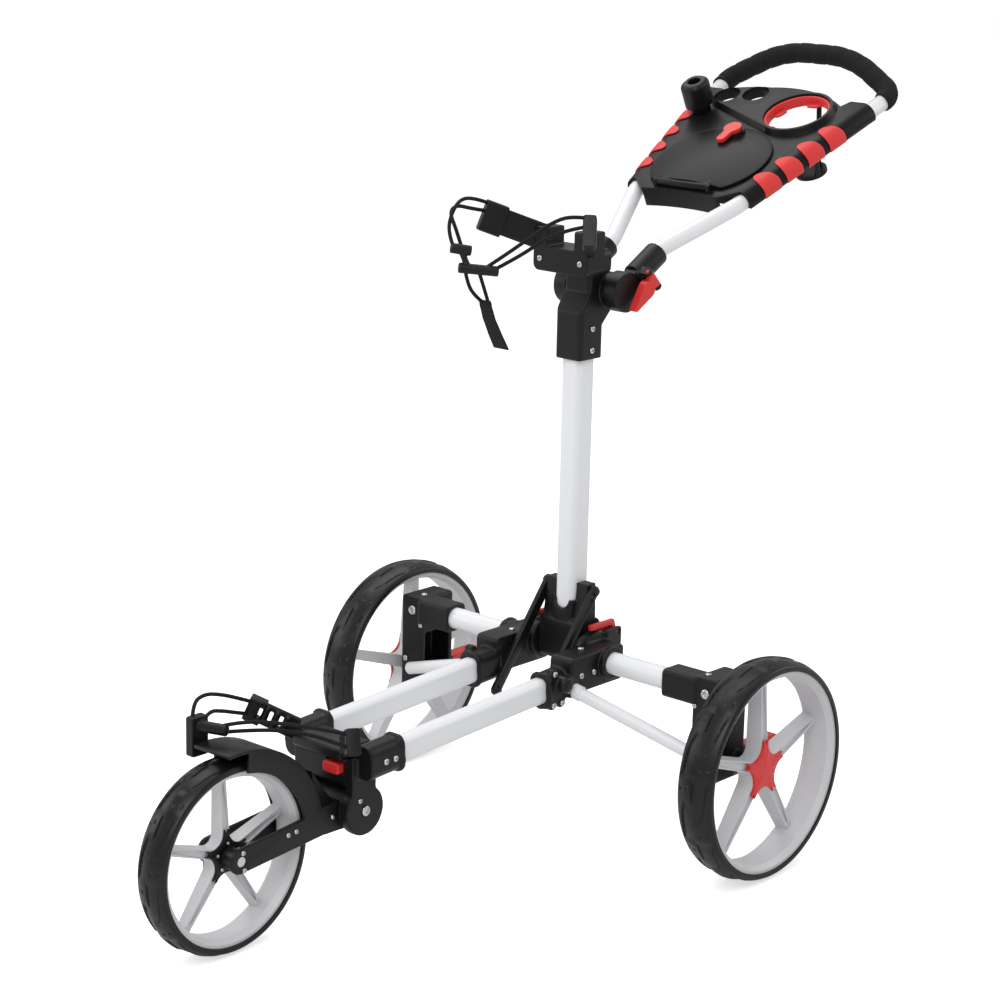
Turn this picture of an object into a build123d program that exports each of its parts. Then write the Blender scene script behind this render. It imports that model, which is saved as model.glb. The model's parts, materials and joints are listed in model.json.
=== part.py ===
"""Three-wheeled folding golf push cart, built as separate named pieces.

Units are millimetres and +Z is up. While modelling, x = 0 is the middle plane, y = 0 is the rear
axle line and the front of the cart points along -Y. Every piece is moved by the same step when it
is written, so that the finished cart stands on z = 0 with its box centred on the origin.
"""

import os
from math import cos, radians, sin, tan

from build123d import *

os.makedirs("parts", exist_ok=True)

# Fits
seat = 0.1                      # gap between pieces that are fixed to each other
running = 0.05                  # radial clearance of a turning pin or bore
clearance = 1.0                 # side gap between pieces that pass each other

# Wheels
wheelbase = 625.0
track = 616.0
rear_tyre_radius = 143.0
rear_tyre_width = 52.0
front_tyre_radius = 119.0
front_tyre_width = 44.0
tyre_thickness = 13.0
tyre_crown = 7.0                # how far the tread edge lies below its middle
tyre_shoulder = 4.5
rim_inset = 2.7                 # how far the rim edge lies inside the tyre side
rim_wall = 9.0
rim_lip = 4.0
rim_flare = 7.0
spoke_count = 5
spoke_root_width = 17.0
spoke_tip_width = 13.0
spoke_draft = 4.0               # degrees that the spoke sides lean in towards the outer face
spoke_fall = 5.0                # how much deeper the spoke lies at the rim than at the hub
spoke_sweep = 13.0              # rounding between two spokes at the hub
hub_face = 4.0                  # outer face of the hub, from the middle of the wheel
hub_back_inset = 5.0            # inner face of the hub, from the rim edge
leaf_radius = 5.0               # round end of the groove in a spoke
leaf_start = 29.0               # distance of that end from the axle
leaf_waist = 0.85               # width of the groove halfway, as a share of its round end
leaf_stop = 5.0                 # wall left between the groove and the rim
leaf_depth = 3.0
cap_radius = 39.0
cap_border = 1.0                # white edge left around the cap
front_hub_share = 0.85          # front hub size against the rear hub
cap_thickness = 3.5
cap_crown = 2.0
cap_crown_radius = 13.0
axle_radius = 6.0
axle_head_radius = 11.0
axle_head_length = 5.0
axle_boss_radius = 13.0

# Rails and legs
rail_x = 59.0
rail_width = 22.0
rail_height = 33.0
rail_corner = 8.0
tube_wall = 1.6
rail_rear = (-92.0, 221.0)      # y and z of the rail axis inside the hub
rail_front_z = 203.6            # height of the rail axis inside the front bracket
leg_radius = 14.5
leg_y = -31.0
leg_z = 238.0
leg_inner_x = 62.0
leg_end_gap = 6.0               # from the end of a leg to the inner side of its wheel bracket
strut_radius = 8.5
strut_inner = (74.0, -94.0, 214.0)
strut_outer_inset = 14.0
strut_outer_z = 158.0
strut_collar_radius = 10.0
strut_collar_length = 16.0

# Hub blocks
socket_wall = 5.0
socket_lip = 2.5
socket_lip_length = 6.0
rail_socket_front_y = -140.0
hub_inner_x = 45.5
hub_outer_x = 82.0
hub_front_y = -104.0
hub_rear_y = 2.0
hub_bottom_z = 208.0
hub_top_z = 256.0
hub_corner = 7.0
leg_socket_mouth_x = 92.0
dome_y = -114.0
dome_z = 226.0
dome_radius = 11.0
dome_height = 13.0
dome_round = 5.0
hub_ear_radius = 7.0
hub_ear_depth = 12.0
hub_ear_places = ((-128.0, 241.0), (-129.0, 200.0), (-112.0, 200.0))
hub_screw_places = ((-84.0, 231.0), (-59.0, 231.0))
cheek_inner_x = 36.0
cheek_radius = 27.0
pivot_y = -17.0                 # mast fold pivot
pivot_z = 241.0
pivot_radius = 6.0

# Wheel brackets
bracket_gap = 37.0              # from the wheel's middle plane to the bracket
bracket_width = 39.0
bracket_front_y = -46.0
bracket_rear_y = 14.0
bracket_top_z = 258.0
bracket_bottom_z = 124.0
bracket_wall = 6.0
bracket_corner = 6.0
bracket_waist_z = 208.0
leg_end_length = 48.0
leg_end_half = 18.5
bracket_boss_radius = 15.0

# Brake pedals
pedal_pivot_y = 22.0
pedal_pivot_z = 152.0
pedal_pin_radius = 4.0
pedal_barrel_radius = 8.0
pedal_width = 20.0
pedal_inset = 3.0               # from the bracket's outer side
pedal_length = 68.0
pedal_thickness = 9.0
pedal_drop = 10.0

# Mast
mast_y = -10.0
mast_width = 32.0
mast_depth = 34.0
mast_corner = 9.0
mast_bottom_z = 262.0
mast_top_z = 668.0
collar_wall = 5.0
collar_bottom_z = 280.0
collar_top_z = 305.0
ear_top_z = 328.0
ear_half = 9.0
collar_dip_radius = 12.0
foot_half_width = 35.0
foot_front_y = -33.0
foot_rear_y = 8.0
foot_bottom_z = 221.0
foot_corner = 8.0
head_bottom_z = 623.0
head_wall = 5.5
head_shoulder_z = 684.0
head_top_z = 736.0
head_step = 16.0
hinge_y = 23.0                  # handle hinge
hinge_z = 710.0
head_barrel_radius = 22.0
head_barrel_half = 29.0

# Fold links
link_pin_y = -11.0
link_pin_z = 319.0
link_low_y = -111.0
link_low_z = 190.0
link_width = 15.0
link_thickness = 6.5
link_rim = 3.5
link_inner_x = 35.5
link_pin_radius = 4.0
link_head_radius = 5.5
link_head_height = 3.0

# Mast release bail
bail_pin_y = 20.0
bail_pin_z = 262.0
bail_pin_radius = 3.0
bail_half_width = 50.0
bail_pin_length = 5.0
bail_lug = 7.0
bail_barrel_radius = 6.5
bail_arm_width = 6.5
bail_arm_height = 8.0
bail_arm_lift = 2.0
bail_front_y = -27.0

# Front bracket and fork
fork_reach = 183.0              # from the front axle back to the fork hinge
fork_pivot_z = 137.0
rail_end_step = 2.0             # the steps along y below are taken from the fork hinge
front_sleeve_rear_step = 40.0
front_sleeve_front_step = -15.0
front_block_front_step = -22.0
front_block_rear_step = 18.0
front_block_bottom_z = 168.0
front_block_top_z = 206.0
lobe_radius = 31.0
lobe_inner_x = 37.0
lobe_outer_x = 50.0
fork_pin_radius = 6.0
fork_barrel_radius = 25.0
fork_neck_front_step = -54.0
fork_neck_bottom_z = 114.0
fork_neck_top_z = 150.0
fork_barrel_half = 36.0
fork_half_width = 30.0
fork_arm_thickness = 6.0
fork_arm_height = 31.0
fork_root_step = -28.0
fork_corner = 8.0
fender_gap = 10.0
fender_thickness = 4.5
fender_half_width = 30.0
fender_start = 8.0              # degrees above the rearward level line
fender_end = 98.0
flange_depth = 24.0             # how far the guard's side walls reach towards the axle
flange_end = 84.0
saddle_half = 22.0
saddle_top_z = 196.0

# Front release
release_width = 26.0
release_height = 14.0
release_depth = 16.0
release_stick_out = 9.0
release_x = 20.0
release_z = 192.0
release_gap = 0.5
release_travel = 6.0

# Bag cradles
cradle_half_width = 45.0
cradle_front_y = -52.0
cradle_rear_y = -4.0
cradle_top_z = 768.0
cradle_corner = 9.0
cradle_cheek_x = 22.0
cradle_cheek_rear_y = -18.0
cradle_cheek_top_z = 792.0
arm_root = (38.0, -38.0, 776.0)
arm_tip = (88.0, -102.0, 806.0)
arm_thickness = 7.0
arm_height = 34.0
arm_block_share = 0.66
arm_block_rise = 6.0
arm_block_width = 17.0
low_root_step = (40.0, -26.0, 224.0)    # points of the lower cradle have y from the fork hinge
low_tip_step = (90.0, -62.0, 250.0)
low_arm_height = 28.0
low_arm_thickness = 9.0
low_arm_rib = 4.0
low_block_share = 0.68
low_block_width = 17.0
low_base_top_z = 220.0
low_base_corner = 4.0
rib_count = 3
rib_share = 0.07
window_height = 15.0

# Handle
tube_radius = 11.0
handle_start = (41.0, 60.0, 734.0)
handle_bend = (41.0, 100.0, 757.0)
handle_flare = (85.0, 199.0, 807.0)
handle_corner = (139.0, 470.0, 940.0)
handle_back = (58.0, 490.0, 983.0)
bend_radii = (60.0, 70.0, 26.0, 55.0)
grip_radius = 14.0
grip_start_share = 0.925        # where the grip starts on the run from flare to corner
clamp_radius = 26.0
clamp_inner_x = 30.5
clamp_outer_x = 52.0
clamp_socket_radius = 16.0
clamp_socket_start = (41.0, 47.0, 726.5)
clamp_socket_end = (41.0, 92.0, 752.4)
clamp_web_share = 0.4
clamp_web_height = 24.0
clamp_web_corner = 4.0
hinge_pin_inner_x = 8.0
hinge_pin_radius = 5.0

# Cam lever
lever_pivot = (64.0, 56.0, 725.0)
lever_foot = (64.0, 20.0, 690.0)
lever_thickness = 12.0
lever_width = 22.0
lever_head_radius = 6.0
lever_head_step = 7.0
lever_belly_radius = 11.0
lever_belly_step = 16.0
lever_tip_radius = 2.5
lever_pin_radius = 3.0
lever_lug = 5.0
lever_lug_start_x = 50.0

# Console, in its own plane: u across, v up the slope, n out of the top face
sleeve_start_v = 12.0
sleeve_end_v = 250.0
console_sleeve_radius = 16.0
sleeve_open_n = -7.0            # the sleeves are open below this level
plate_low_n = 8.0
tray_front_half = 62.0
tray_front_v = -8.0
front_hollow = 5.0
back_middle_v = 268.0
shoulder_width = 22.0
notch_width = 30.0
notch_v = 236.0
pod_height = 9.0                # raised ground around the cup and ball holes
pod_lean = 25.0
skirt_low_n = -12.0
skirt_thickness = 5.0
lid_start_v = 10.0
lid_front_half = 58.0
lid_middle_v = 70.0
lid_middle_half = 84.0
lid_back_v = 140.0
lid_back_half = 44.0
lid_end_v = 151.0
lid_corner = 9.0
lid_rise = 14.0
dome_ball_radius = 330.0
lid_wall = 3.5
store_margin = 9.0
store_wall = 3.0
store_low_n = -6.0
store_floor = 4.0
lid_gap = 0.4
lid_barrel_v = 4.0
lid_barrel_lift = 5.2
lid_barrel_radius = 4.5
lid_barrel_half = 40.0
lid_pin_radius = 2.5
lid_pin_length = 5.0
lid_ear = 6.0
latch_v = 128.0
latch_boss_radius = 15.0
latch_boss_drop = 10.0
latch_radius = 13.0
latch_tail = 34.0
latch_tail_width = 13.0
latch_height = 6.0
latch_stem_radius = 4.0
latch_stem_length = 3.0
cup_u = 54.0
cup_v = 200.0
cup_radius = 46.0
cup_collar = 8.0
cup_ring_wall = 4.0
cup_ring_sink = 3.0             # how deep the ring lies below the mouth
cup_ring_depth = 14.0
basket_floor_n = -72.0
basket_floor_radius = 22.0
basket_floor_thickness = 5.0
basket_rib_radius = 3.5
basket_rib_count = 3
ball_radius = 19.0
ball_collar = 4.0
ball_places = ((-36.0, 232.0), (-78.0, 222.0))
insert_count = 4
insert_length = 25.0
insert_width = 36.0
insert_reach = 14.0             # how far the middle of an insert's outline lies outside the tube
insert_thickness = 2.0
insert_corner = 11.0
insert_low_angle = -25.0
insert_span = 118.0
insert_first_v = 50.0
insert_pitch = 41.0
umbrella_u = -102.0
umbrella_v = 190.0
umbrella_base_radius = 13.0
umbrella_base_height = 10.5
umbrella_pin_radius = 4.0
umbrella_pin_length = 7.0
umbrella_length = 40.0
umbrella_width = 36.0
umbrella_height = 36.0
umbrella_corner = 16.0
umbrella_shoulder = 7.0
umbrella_bore = 9.0
umbrella_bore_depth = 26.0

# Screws
screw_radius = 4.0
screw_height = 2.4
big_screw_radius = 6.5

# Elastic straps and their fittings
cord_radius = 2.4
lock_radius = 6.5
lock_start = (-60.0, -190.0, 776.0)
lock_end = (-44.0, -170.0, 772.0)
toggle_radius = 6.5
toggle_start = (-50.0, -186.0, 752.0)
toggle_end = (-18.0, -148.0, 747.0)
lock_neck_radius = 4.0
tab_thickness = 2.5
tab_x = (-50.0, -26.0)
tab_route = ((-149.0, 709.0), (-141.0, 685.0), (-129.0, 663.0), (-117.0, 644.0))
buckle_x = (-48.0, -36.0)
buckle_y_step = (-198.0, -173.0)        # y from the fork hinge
buckle_z = (232.0, 280.0)
buckle_corner = 3.0
hook_radius = 7.0
hook_start_step = (-42.0, -186.0, 268.0)
hook_end_step = (-4.0, -174.0, 268.0)

# Places worked out from the sizes above
handle_reach = handle_back[1] + grip_radius
rear_axle_y = (wheelbase + front_tyre_radius - handle_reach) / 2
wheel_x = track / 2
front_axle_y = -wheelbase
fork_pivot_y = front_axle_y + fork_reach
bracket_outer_x = wheel_x - bracket_gap
bracket_inner_x = bracket_outer_x - bracket_width
leg_outer_x = bracket_inner_x - leg_end_gap
leg_end_mouth_x = bracket_inner_x - leg_end_length
strut_outer_x = bracket_inner_x + strut_outer_inset
pedal_outer_x = bracket_outer_x - pedal_inset
pedal_inner_x = pedal_outer_x - pedal_width
rail_front = (fork_pivot_y + rail_end_step, rail_front_z)
rail_ends = (rail_rear[0], rail_front[0])
front_sleeve_rear_y = fork_pivot_y + front_sleeve_rear_step
front_sleeve_front_y = fork_pivot_y + front_sleeve_front_step
front_block_front_y = fork_pivot_y + front_block_front_step
front_block_rear_y = fork_pivot_y + front_block_rear_step
fork_neck_front_y = fork_pivot_y + fork_neck_front_step
fork_root_y = fork_pivot_y + fork_root_step
rail_run = Vector(0, rail_front[0] - rail_rear[0], rail_front[1] - rail_rear[1])
rail_direction = rail_run.normalized()


def save(block: BuildPart, node: str) -> None:
    """Move a finished piece into the shared frame, label it and write its file."""
    placed = block.part.moved(Location((0, rear_axle_y, 0)))
    placed.label = node
    export_step(placed, f"parts/{node}.step")


def save_pair(right: BuildPart, node: str) -> None:
    """Write a piece of the +X side and its mirror image."""
    with BuildPart() as left:
        mirror(right.part, about=Plane.YZ)
    save(right, node + "_right")
    save(left, node + "_left")


def rod(start, end, radius: float) -> Part:
    """Round bar between two points."""
    run = Vector(*end) - Vector(*start)
    with BuildPart() as shape:
        with BuildSketch(Plane(origin=start, z_dir=run)):
            Circle(radius)
        extrude(amount=run.length)
    return shape.part


def block(x_span, y_span, z_span, corner: float = 0.0, along: Axis = Axis.X) -> Part:
    """Box between three spans, with the edges along one axis rounded."""
    size = [span[1] - span[0] for span in (x_span, y_span, z_span)]
    middle = [(span[0] + span[1]) / 2 for span in (x_span, y_span, z_span)]
    with BuildPart() as shape:
        with Locations(tuple(middle)):
            Box(*size)
        if corner:
            fillet(shape.edges().filter_by(along), corner)
    return shape.part


def side_plate(points, x_start: float, x_end: float, corner: float = 0.0) -> Part:
    """Plate with an outline in the side view, given as y and z pairs."""
    with BuildPart() as shape:
        with BuildSketch(Plane.YZ.offset(x_start)) as outline:
            with BuildLine():
                Polyline(*points, close=True)
            make_face()
            if corner:
                fillet(outline.vertices(), corner)
        extrude(amount=x_end - x_start)
    return shape.part


def rail_bar(x: float, width: float, height: float, corner: float, y_start: float, y_end: float) -> Part:
    """Bar of rounded rectangular section that follows the slope of the rails."""
    drop = (rail_front[1] - rail_rear[1]) / (rail_front[0] - rail_rear[0])
    start = (x, y_start, rail_rear[1] + drop * (y_start - rail_rear[0]))
    with BuildPart() as shape:
        with BuildSketch(Plane(origin=start, x_dir=(1, 0, 0), z_dir=rail_direction)):
            RectangleRounded(width, height, corner)
        extrude(amount=(y_end - y_start) / rail_direction.Y)
    return shape.part


def flat_bar(start, end, thickness: float, height: float, corner: float) -> Part:
    """Upright flat bar between two points, thin in plan."""
    run = Vector(*end) - Vector(*start)
    across = Vector(run.Y, -run.X, 0).normalized()
    with BuildPart() as shape:
        with BuildSketch(Plane(origin=start, x_dir=across, z_dir=run)):
            RectangleRounded(thickness, height, corner)
        extrude(amount=run.length)
    return shape.part


def beyond(start, end, share: float):
    """Point on the line from start to end, at a share of its length."""
    return tuple(a + (b - a) * share for a, b in zip(start, end))


def from_hinge(point):
    """Point whose y is measured from the fork hinge."""
    return (point[0], point[1] + fork_pivot_y, point[2])


# Wheels: tyre, dished five-spoke rim and star-shaped hub cap, turning about X
def make_tyre(centre, radius: float, width: float) -> Part:
    edge = radius - tyre_crown
    inner = radius - tyre_thickness
    with BuildPart() as tyre:
        with BuildSketch(Plane.XZ) as profile:
            with BuildLine():
                Polyline((-width / 2, edge), (-width / 2, inner), (width / 2, inner), (width / 2, edge))
                ThreePointArc((-width / 2, edge), (0, radius), (width / 2, edge))
            make_face()
            fillet(profile.vertices().sort_by(Axis.Y)[-2:], tyre_shoulder)
        revolve(axis=Axis.X)
    return tyre.part.moved(Location(centre))


def turned(points, degrees: float):
    """Points of a flat outline, turned about its origin."""
    c = cos(radians(degrees))
    s = sin(radians(degrees))
    return [(u * c - v * s, u * s + v * c) for u, v in points]


def make_web(scale: float, tip: float, back: float, front: float) -> Part:
    """Hub and spokes as one deep web, with a round sweep from each spoke to the next."""
    root = spoke_root_width * scale / 2
    end = spoke_tip_width * scale / 2
    with BuildPart() as web:
        with BuildSketch(Plane.YZ.offset(back)) as outline:
            for step in range(spoke_count):
                with BuildLine():
                    Polyline(*turned(((-root, 0), (-end, tip), (end, tip), (root, 0)),
                            step * spoke_turn), close=True)
                make_face()
            inside = [corner for corner in outline.vertices() if corner.center().length < spoke_root_width]
            fillet(inside, spoke_sweep * scale)
        extrude(amount=front - back, taper=spoke_draft)
    return web.part


def make_leaf(scale: float, tip: float, back: float, front: float) -> Part:
    """Groove of one spoke: round at the hub, pointed at the rim."""
    half = leaf_radius * scale
    start = leaf_start * scale + half
    with BuildPart() as leaf:
        with BuildSketch(Plane.YZ.offset(back)):
            with BuildLine():
                CenterArc((0, start), half, 180, 180)
                ThreePointArc((half, start), (half * leaf_waist, (start + tip) / 2), (0, tip))
                ThreePointArc((0, tip), (-half * leaf_waist, (start + tip) / 2), (-half, start))
            make_face()
        extrude(amount=front - back)
    return leaf.part


def make_rim(centre, tyre_radius: float, tyre_width: float, scale: float) -> Part:
    rim_radius = tyre_radius - tyre_thickness - seat
    half = tyre_width / 2 - rim_inset
    back = hub_back_inset - half
    front = hub_face * scale
    inner = rim_radius - rim_wall
    leaf_tip = inner - leaf_stop
    with BuildPart() as fall:
        with BuildSketch(Plane.XZ):
            with BuildLine():
                Polyline((front - spoke_fall, inner), (front, cap_radius * scale),
                        (half, cap_radius * scale),
                         (half, inner), close=True)
            make_face()
        revolve(axis=Axis.X)
    with BuildPart() as groove_roof:
        add(fall.part.moved(Location((-leaf_depth, 0, 0))))
        with BuildSketch(Plane.YZ.offset(front - leaf_depth)):
            Circle(cap_radius * scale + seat)
        extrude(amount=half)
    with BuildPart() as leaf:
        add(make_leaf(scale, leaf_tip, front - spoke_fall - leaf_depth, half))
        add(groove_roof.part, mode=Mode.INTERSECT)
    with BuildPart() as rim:
        with BuildSketch(Plane.XZ):
            with BuildLine():
                Polyline((-half, rim_radius), (half, rim_radius), (half, rim_radius - rim_lip),
                         (half - rim_flare, inner), (rim_flare - half, inner), (-half,
                                 rim_radius - rim_lip),
                         close=True)
            make_face()
        revolve(axis=Axis.X)
        add(make_web(scale, inner + rim_lip, back, front))
        add(fall.part, mode=Mode.SUBTRACT)
        for step in range(spoke_count):
            add(leaf.part.rotate(Axis.X, step * spoke_turn), mode=Mode.SUBTRACT)
        add(rod((-2 * half, 0, 0), (2 * half, 0, 0), axle_radius + running), mode=Mode.SUBTRACT)
    return rim.part.moved(Location(centre))


def make_cap(centre, face_x: float, scale: float, bore: float) -> Part:
    """Star cap on the hub face at face_x, pointing to +X, with a fork around each spoke groove."""
    sweep_place = (spoke_root_width / 2 + spoke_sweep) / sin(radians(spoke_turn / 2))
    notch = leaf_radius + cap_border
    with BuildPart() as cap:
        with BuildSketch(Plane.YZ.offset(face_x)):
            Circle(cap_radius * scale)
            with PolarLocations(sweep_place * scale, spoke_count, 90 + spoke_turn / 2):
                Circle((spoke_sweep + cap_border) * scale, mode=Mode.SUBTRACT)
            with PolarLocations((leaf_start + leaf_radius + cap_radius / 2) * scale, spoke_count, 90):
                SlotOverall((cap_radius + 2 * notch) * scale, 2 * notch * scale, mode=Mode.SUBTRACT)
            Circle(bore, mode=Mode.SUBTRACT)
        extrude(amount=cap_thickness)
    return cap.part.moved(Location(centre))


spoke_turn = 360 / spoke_count
rear_centre = (wheel_x, 0, rear_tyre_radius)
front_centre = (0, front_axle_y, front_tyre_radius)
rear_half = rear_tyre_width / 2 - rim_inset
front_half = front_tyre_width / 2 - rim_inset
rear_back = rear_half - hub_back_inset
front_back = front_half - hub_back_inset
front_face = hub_face * front_hub_share

with BuildPart() as rear_tyre:
    add(make_tyre(rear_centre, rear_tyre_radius, rear_tyre_width))
save_pair(rear_tyre, "rear_tyre")

with BuildPart() as rear_rim:
    add(make_rim(rear_centre, rear_tyre_radius, rear_tyre_width, 1.0))
save_pair(rear_rim, "rear_rim")

cap_face_x = wheel_x + hub_face + seat
with BuildPart() as rear_cap:
    add(make_cap(rear_centre, hub_face + seat, 1.0, axle_radius + clearance))
    add(rod((cap_face_x + cap_thickness - seat, 0, rear_tyre_radius),
            (cap_face_x + cap_thickness + cap_crown, 0, rear_tyre_radius), cap_crown_radius))
save_pair(rear_cap, "rear_hub_cap")

with BuildPart() as front_tyre:
    add(make_tyre(front_centre, front_tyre_radius, front_tyre_width))
save(front_tyre, "front_tyre")

with BuildPart() as front_rim:
    add(make_rim(front_centre, front_tyre_radius, front_tyre_width, front_hub_share))
save(front_rim, "front_rim")

with BuildPart() as front_cap:
    add(make_cap(front_centre, front_face + seat, front_hub_share, axle_radius + clearance))
    add(make_cap(front_centre, -front_back - seat - cap_thickness, front_hub_share,
            axle_radius + clearance))
save(front_cap, "front_hub_cap")


# Rails, legs, struts and the moulded blocks that join them
with BuildPart() as rail:
    add(rail_bar(rail_x, rail_width, rail_height, rail_corner, *rail_ends))
    add(rail_bar(rail_x, rail_width - 2 * tube_wall, rail_height - 2 * tube_wall,
                 rail_corner - tube_wall, *rail_ends), mode=Mode.SUBTRACT)
save_pair(rail, "rail")

with BuildPart() as leg:
    add(rod((leg_inner_x, leg_y, leg_z), (leg_outer_x, leg_y, leg_z), leg_radius))
    add(rod((leg_inner_x, leg_y, leg_z), (leg_outer_x, leg_y, leg_z), leg_radius - tube_wall),
        mode=Mode.SUBTRACT)
save_pair(leg, "leg_tube")

strut_outer = (strut_outer_x, bracket_front_y - strut_radius - seat, strut_outer_z)
strut_run = (Vector(*strut_outer) - Vector(*strut_inner)).normalized()
strut_collar_end = tuple(Vector(*strut_inner) + strut_run * strut_collar_length)
with BuildPart() as strut:
    add(rod(strut_inner, strut_outer, strut_radius))
    add(rod(strut_inner, strut_collar_end, strut_collar_radius))
save_pair(strut, "strut")

rail_sleeve_width = rail_width + 2 * socket_wall
rail_sleeve_height = rail_height + 2 * socket_wall
rail_sleeve_corner = rail_corner + socket_wall
sleeve_face_x = rail_x + rail_sleeve_width / 2
leg_sleeve_radius = leg_radius + socket_wall
lug_inner_x = bail_half_width + clearance / 2
hub_pin_end_x = hub_inner_x + hub_corner
with BuildPart() as boss:
    add(rod((sleeve_face_x - socket_wall, dome_y, dome_z),
            (sleeve_face_x + dome_height, dome_y, dome_z), dome_radius))
    fillet(boss.edges().sort_by(Axis.X)[-1], dome_round)
rounded_boss = boss.part
with BuildPart() as hub:
    add(block((hub_inner_x, hub_outer_x), (hub_front_y, hub_rear_y), (hub_bottom_z, hub_top_z),
              hub_corner, Axis.X))
    add(rail_bar(rail_x, rail_sleeve_width, rail_sleeve_height, rail_sleeve_corner,
                 hub_front_y + hub_corner, rail_socket_front_y))
    add(rail_bar(rail_x + socket_lip / 2, rail_sleeve_width + socket_lip,
            rail_sleeve_height + 2 * socket_lip,
                 rail_sleeve_corner, rail_socket_front_y + socket_lip_length, rail_socket_front_y))
    add(rod((hub_outer_x - hub_corner, leg_y, leg_z), (leg_socket_mouth_x, leg_y, leg_z),
            leg_sleeve_radius))
    add(rod((leg_socket_mouth_x - socket_lip_length, leg_y, leg_z), (leg_socket_mouth_x, leg_y, leg_z),
            leg_sleeve_radius + socket_lip))
    add(rod((cheek_inner_x, pivot_y, pivot_z), (hub_pin_end_x, pivot_y, pivot_z), cheek_radius))
    add(block((lug_inner_x, lug_inner_x + bail_lug), (hub_rear_y - hub_corner, bail_pin_y + bail_lug),
              (pivot_z, bail_pin_z + bail_lug), bail_lug / 2, Axis.X))
    add(rounded_boss)
    for ear_y, ear_z in hub_ear_places:
        add(rod((sleeve_face_x - hub_ear_depth, ear_y, ear_z), (sleeve_face_x, ear_y, ear_z),
                hub_ear_radius))
    add(block((strut_inner[0] - strut_collar_radius - socket_wall, hub_outer_x),
              (hub_front_y, strut_inner[1] + strut_collar_radius + socket_wall),
              (strut_inner[2] - strut_collar_radius, hub_bottom_z + hub_corner), socket_wall / 2, Axis.X))
    add(rail_bar(rail_x, rail_width + 2 * seat, rail_height + 2 * seat, rail_corner + seat,
                 rail_rear[0] + seat, rail_socket_front_y - socket_lip_length), mode=Mode.SUBTRACT)
    add(rod((leg_inner_x - seat, leg_y, leg_z), (leg_socket_mouth_x + clearance, leg_y, leg_z),
            leg_radius + seat), mode=Mode.SUBTRACT)
    add(rod(tuple(Vector(*strut_inner) - strut_run * seat), strut_outer, strut_collar_radius + seat),
        mode=Mode.SUBTRACT)
    add(rod((0, pivot_y, pivot_z), (hub_pin_end_x, pivot_y, pivot_z), pivot_radius + seat),
        mode=Mode.SUBTRACT)
    add(rod((0, bail_pin_y, bail_pin_z), (hub_outer_x, bail_pin_y, bail_pin_z), bail_pin_radius + running),
        mode=Mode.SUBTRACT)
save_pair(hub, "hub_block")

with BuildPart() as mast_pin:
    add(rod((seat - hub_pin_end_x, pivot_y, pivot_z), (hub_pin_end_x - seat, pivot_y, pivot_z),
            pivot_radius))
save(mast_pin, "mast_pivot_pin")

axle_z = rear_tyre_radius
bracket_face_x = wheel_x - rear_back - clearance
with BuildPart() as wheel_bracket:
    add(block((bracket_inner_x, bracket_outer_x), (bracket_front_y, bracket_rear_y),
              (bracket_waist_z, bracket_top_z), bracket_corner, Axis.Y))
    add(block((bracket_inner_x, bracket_outer_x), (bracket_front_y, bracket_rear_y),
              (bracket_bottom_z, bracket_waist_z + 2 * bracket_corner)))
    add(block((bracket_inner_x - bracket_wall, bracket_outer_x - bracket_wall),
              (bracket_front_y + bracket_wall, bracket_rear_y - bracket_wall),
              (axle_z + bracket_boss_radius, bracket_waist_z)), mode=Mode.SUBTRACT)
    add(block((leg_end_mouth_x, bracket_inner_x + bracket_corner),
            (leg_y - leg_end_half, leg_y + leg_end_half),
              (leg_z - leg_end_half, leg_z + leg_end_half), bracket_corner, Axis.X))
    add(rod((bracket_outer_x - bracket_corner, 0, axle_z), (bracket_face_x, 0, axle_z),
            bracket_boss_radius))
    for ear_x in (pedal_inner_x - clearance / 2 - bracket_wall, pedal_outer_x + clearance / 2):
        add(block((ear_x, ear_x + bracket_wall), (bracket_rear_y - bracket_wall, pedal_pivot_y),
                  (pedal_pivot_z - pedal_barrel_radius, pedal_pivot_z + pedal_barrel_radius)))
        add(rod((ear_x, pedal_pivot_y, pedal_pivot_z), (ear_x + bracket_wall, pedal_pivot_y, pedal_pivot_z),
                pedal_barrel_radius))
    add(rod((leg_end_mouth_x - clearance, leg_y, leg_z), (leg_outer_x + seat, leg_y, leg_z),
            leg_radius + seat),
        mode=Mode.SUBTRACT)
    add(rod((bracket_inner_x - clearance, 0, axle_z), (wheel_x, 0, axle_z), axle_radius + seat),
        mode=Mode.SUBTRACT)
    add(rod((bracket_inner_x - bracket_wall, pedal_pivot_y, pedal_pivot_z),
            (wheel_x, pedal_pivot_y, pedal_pivot_z), pedal_pin_radius + running), mode=Mode.SUBTRACT)
save_pair(wheel_bracket, "wheel_bracket")

with BuildPart() as rear_axle:
    add(rod((bracket_inner_x - clearance, 0, axle_z), (wheel_x + hub_face - seat, 0, axle_z), axle_radius))
    add(rod((bracket_inner_x - axle_head_length, 0, axle_z), (bracket_inner_x - seat, 0, axle_z),
            axle_head_radius))
save_pair(rear_axle, "rear_axle")

# Brake pedals
with BuildPart() as pedal:
    add(rod((pedal_inner_x, pedal_pivot_y, pedal_pivot_z), (pedal_outer_x, pedal_pivot_y, pedal_pivot_z),
            pedal_barrel_radius - clearance))
    add(rod((pedal_inner_x - bracket_wall, pedal_pivot_y, pedal_pivot_z),
            (pedal_outer_x + bracket_wall, pedal_pivot_y, pedal_pivot_z), pedal_pin_radius))
    add(side_plate(((pedal_pivot_y, pedal_pivot_z - pedal_thickness / 2),
                    (pedal_pivot_y + pedal_length, pedal_pivot_z - pedal_thickness / 2 - pedal_drop),
                    (pedal_pivot_y + pedal_length, pedal_pivot_z + pedal_thickness / 2),
                    (pedal_pivot_y, pedal_pivot_z + pedal_thickness / 2)),
                   pedal_inner_x, pedal_outer_x))
save_pair(pedal, "brake_pedal")

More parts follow.
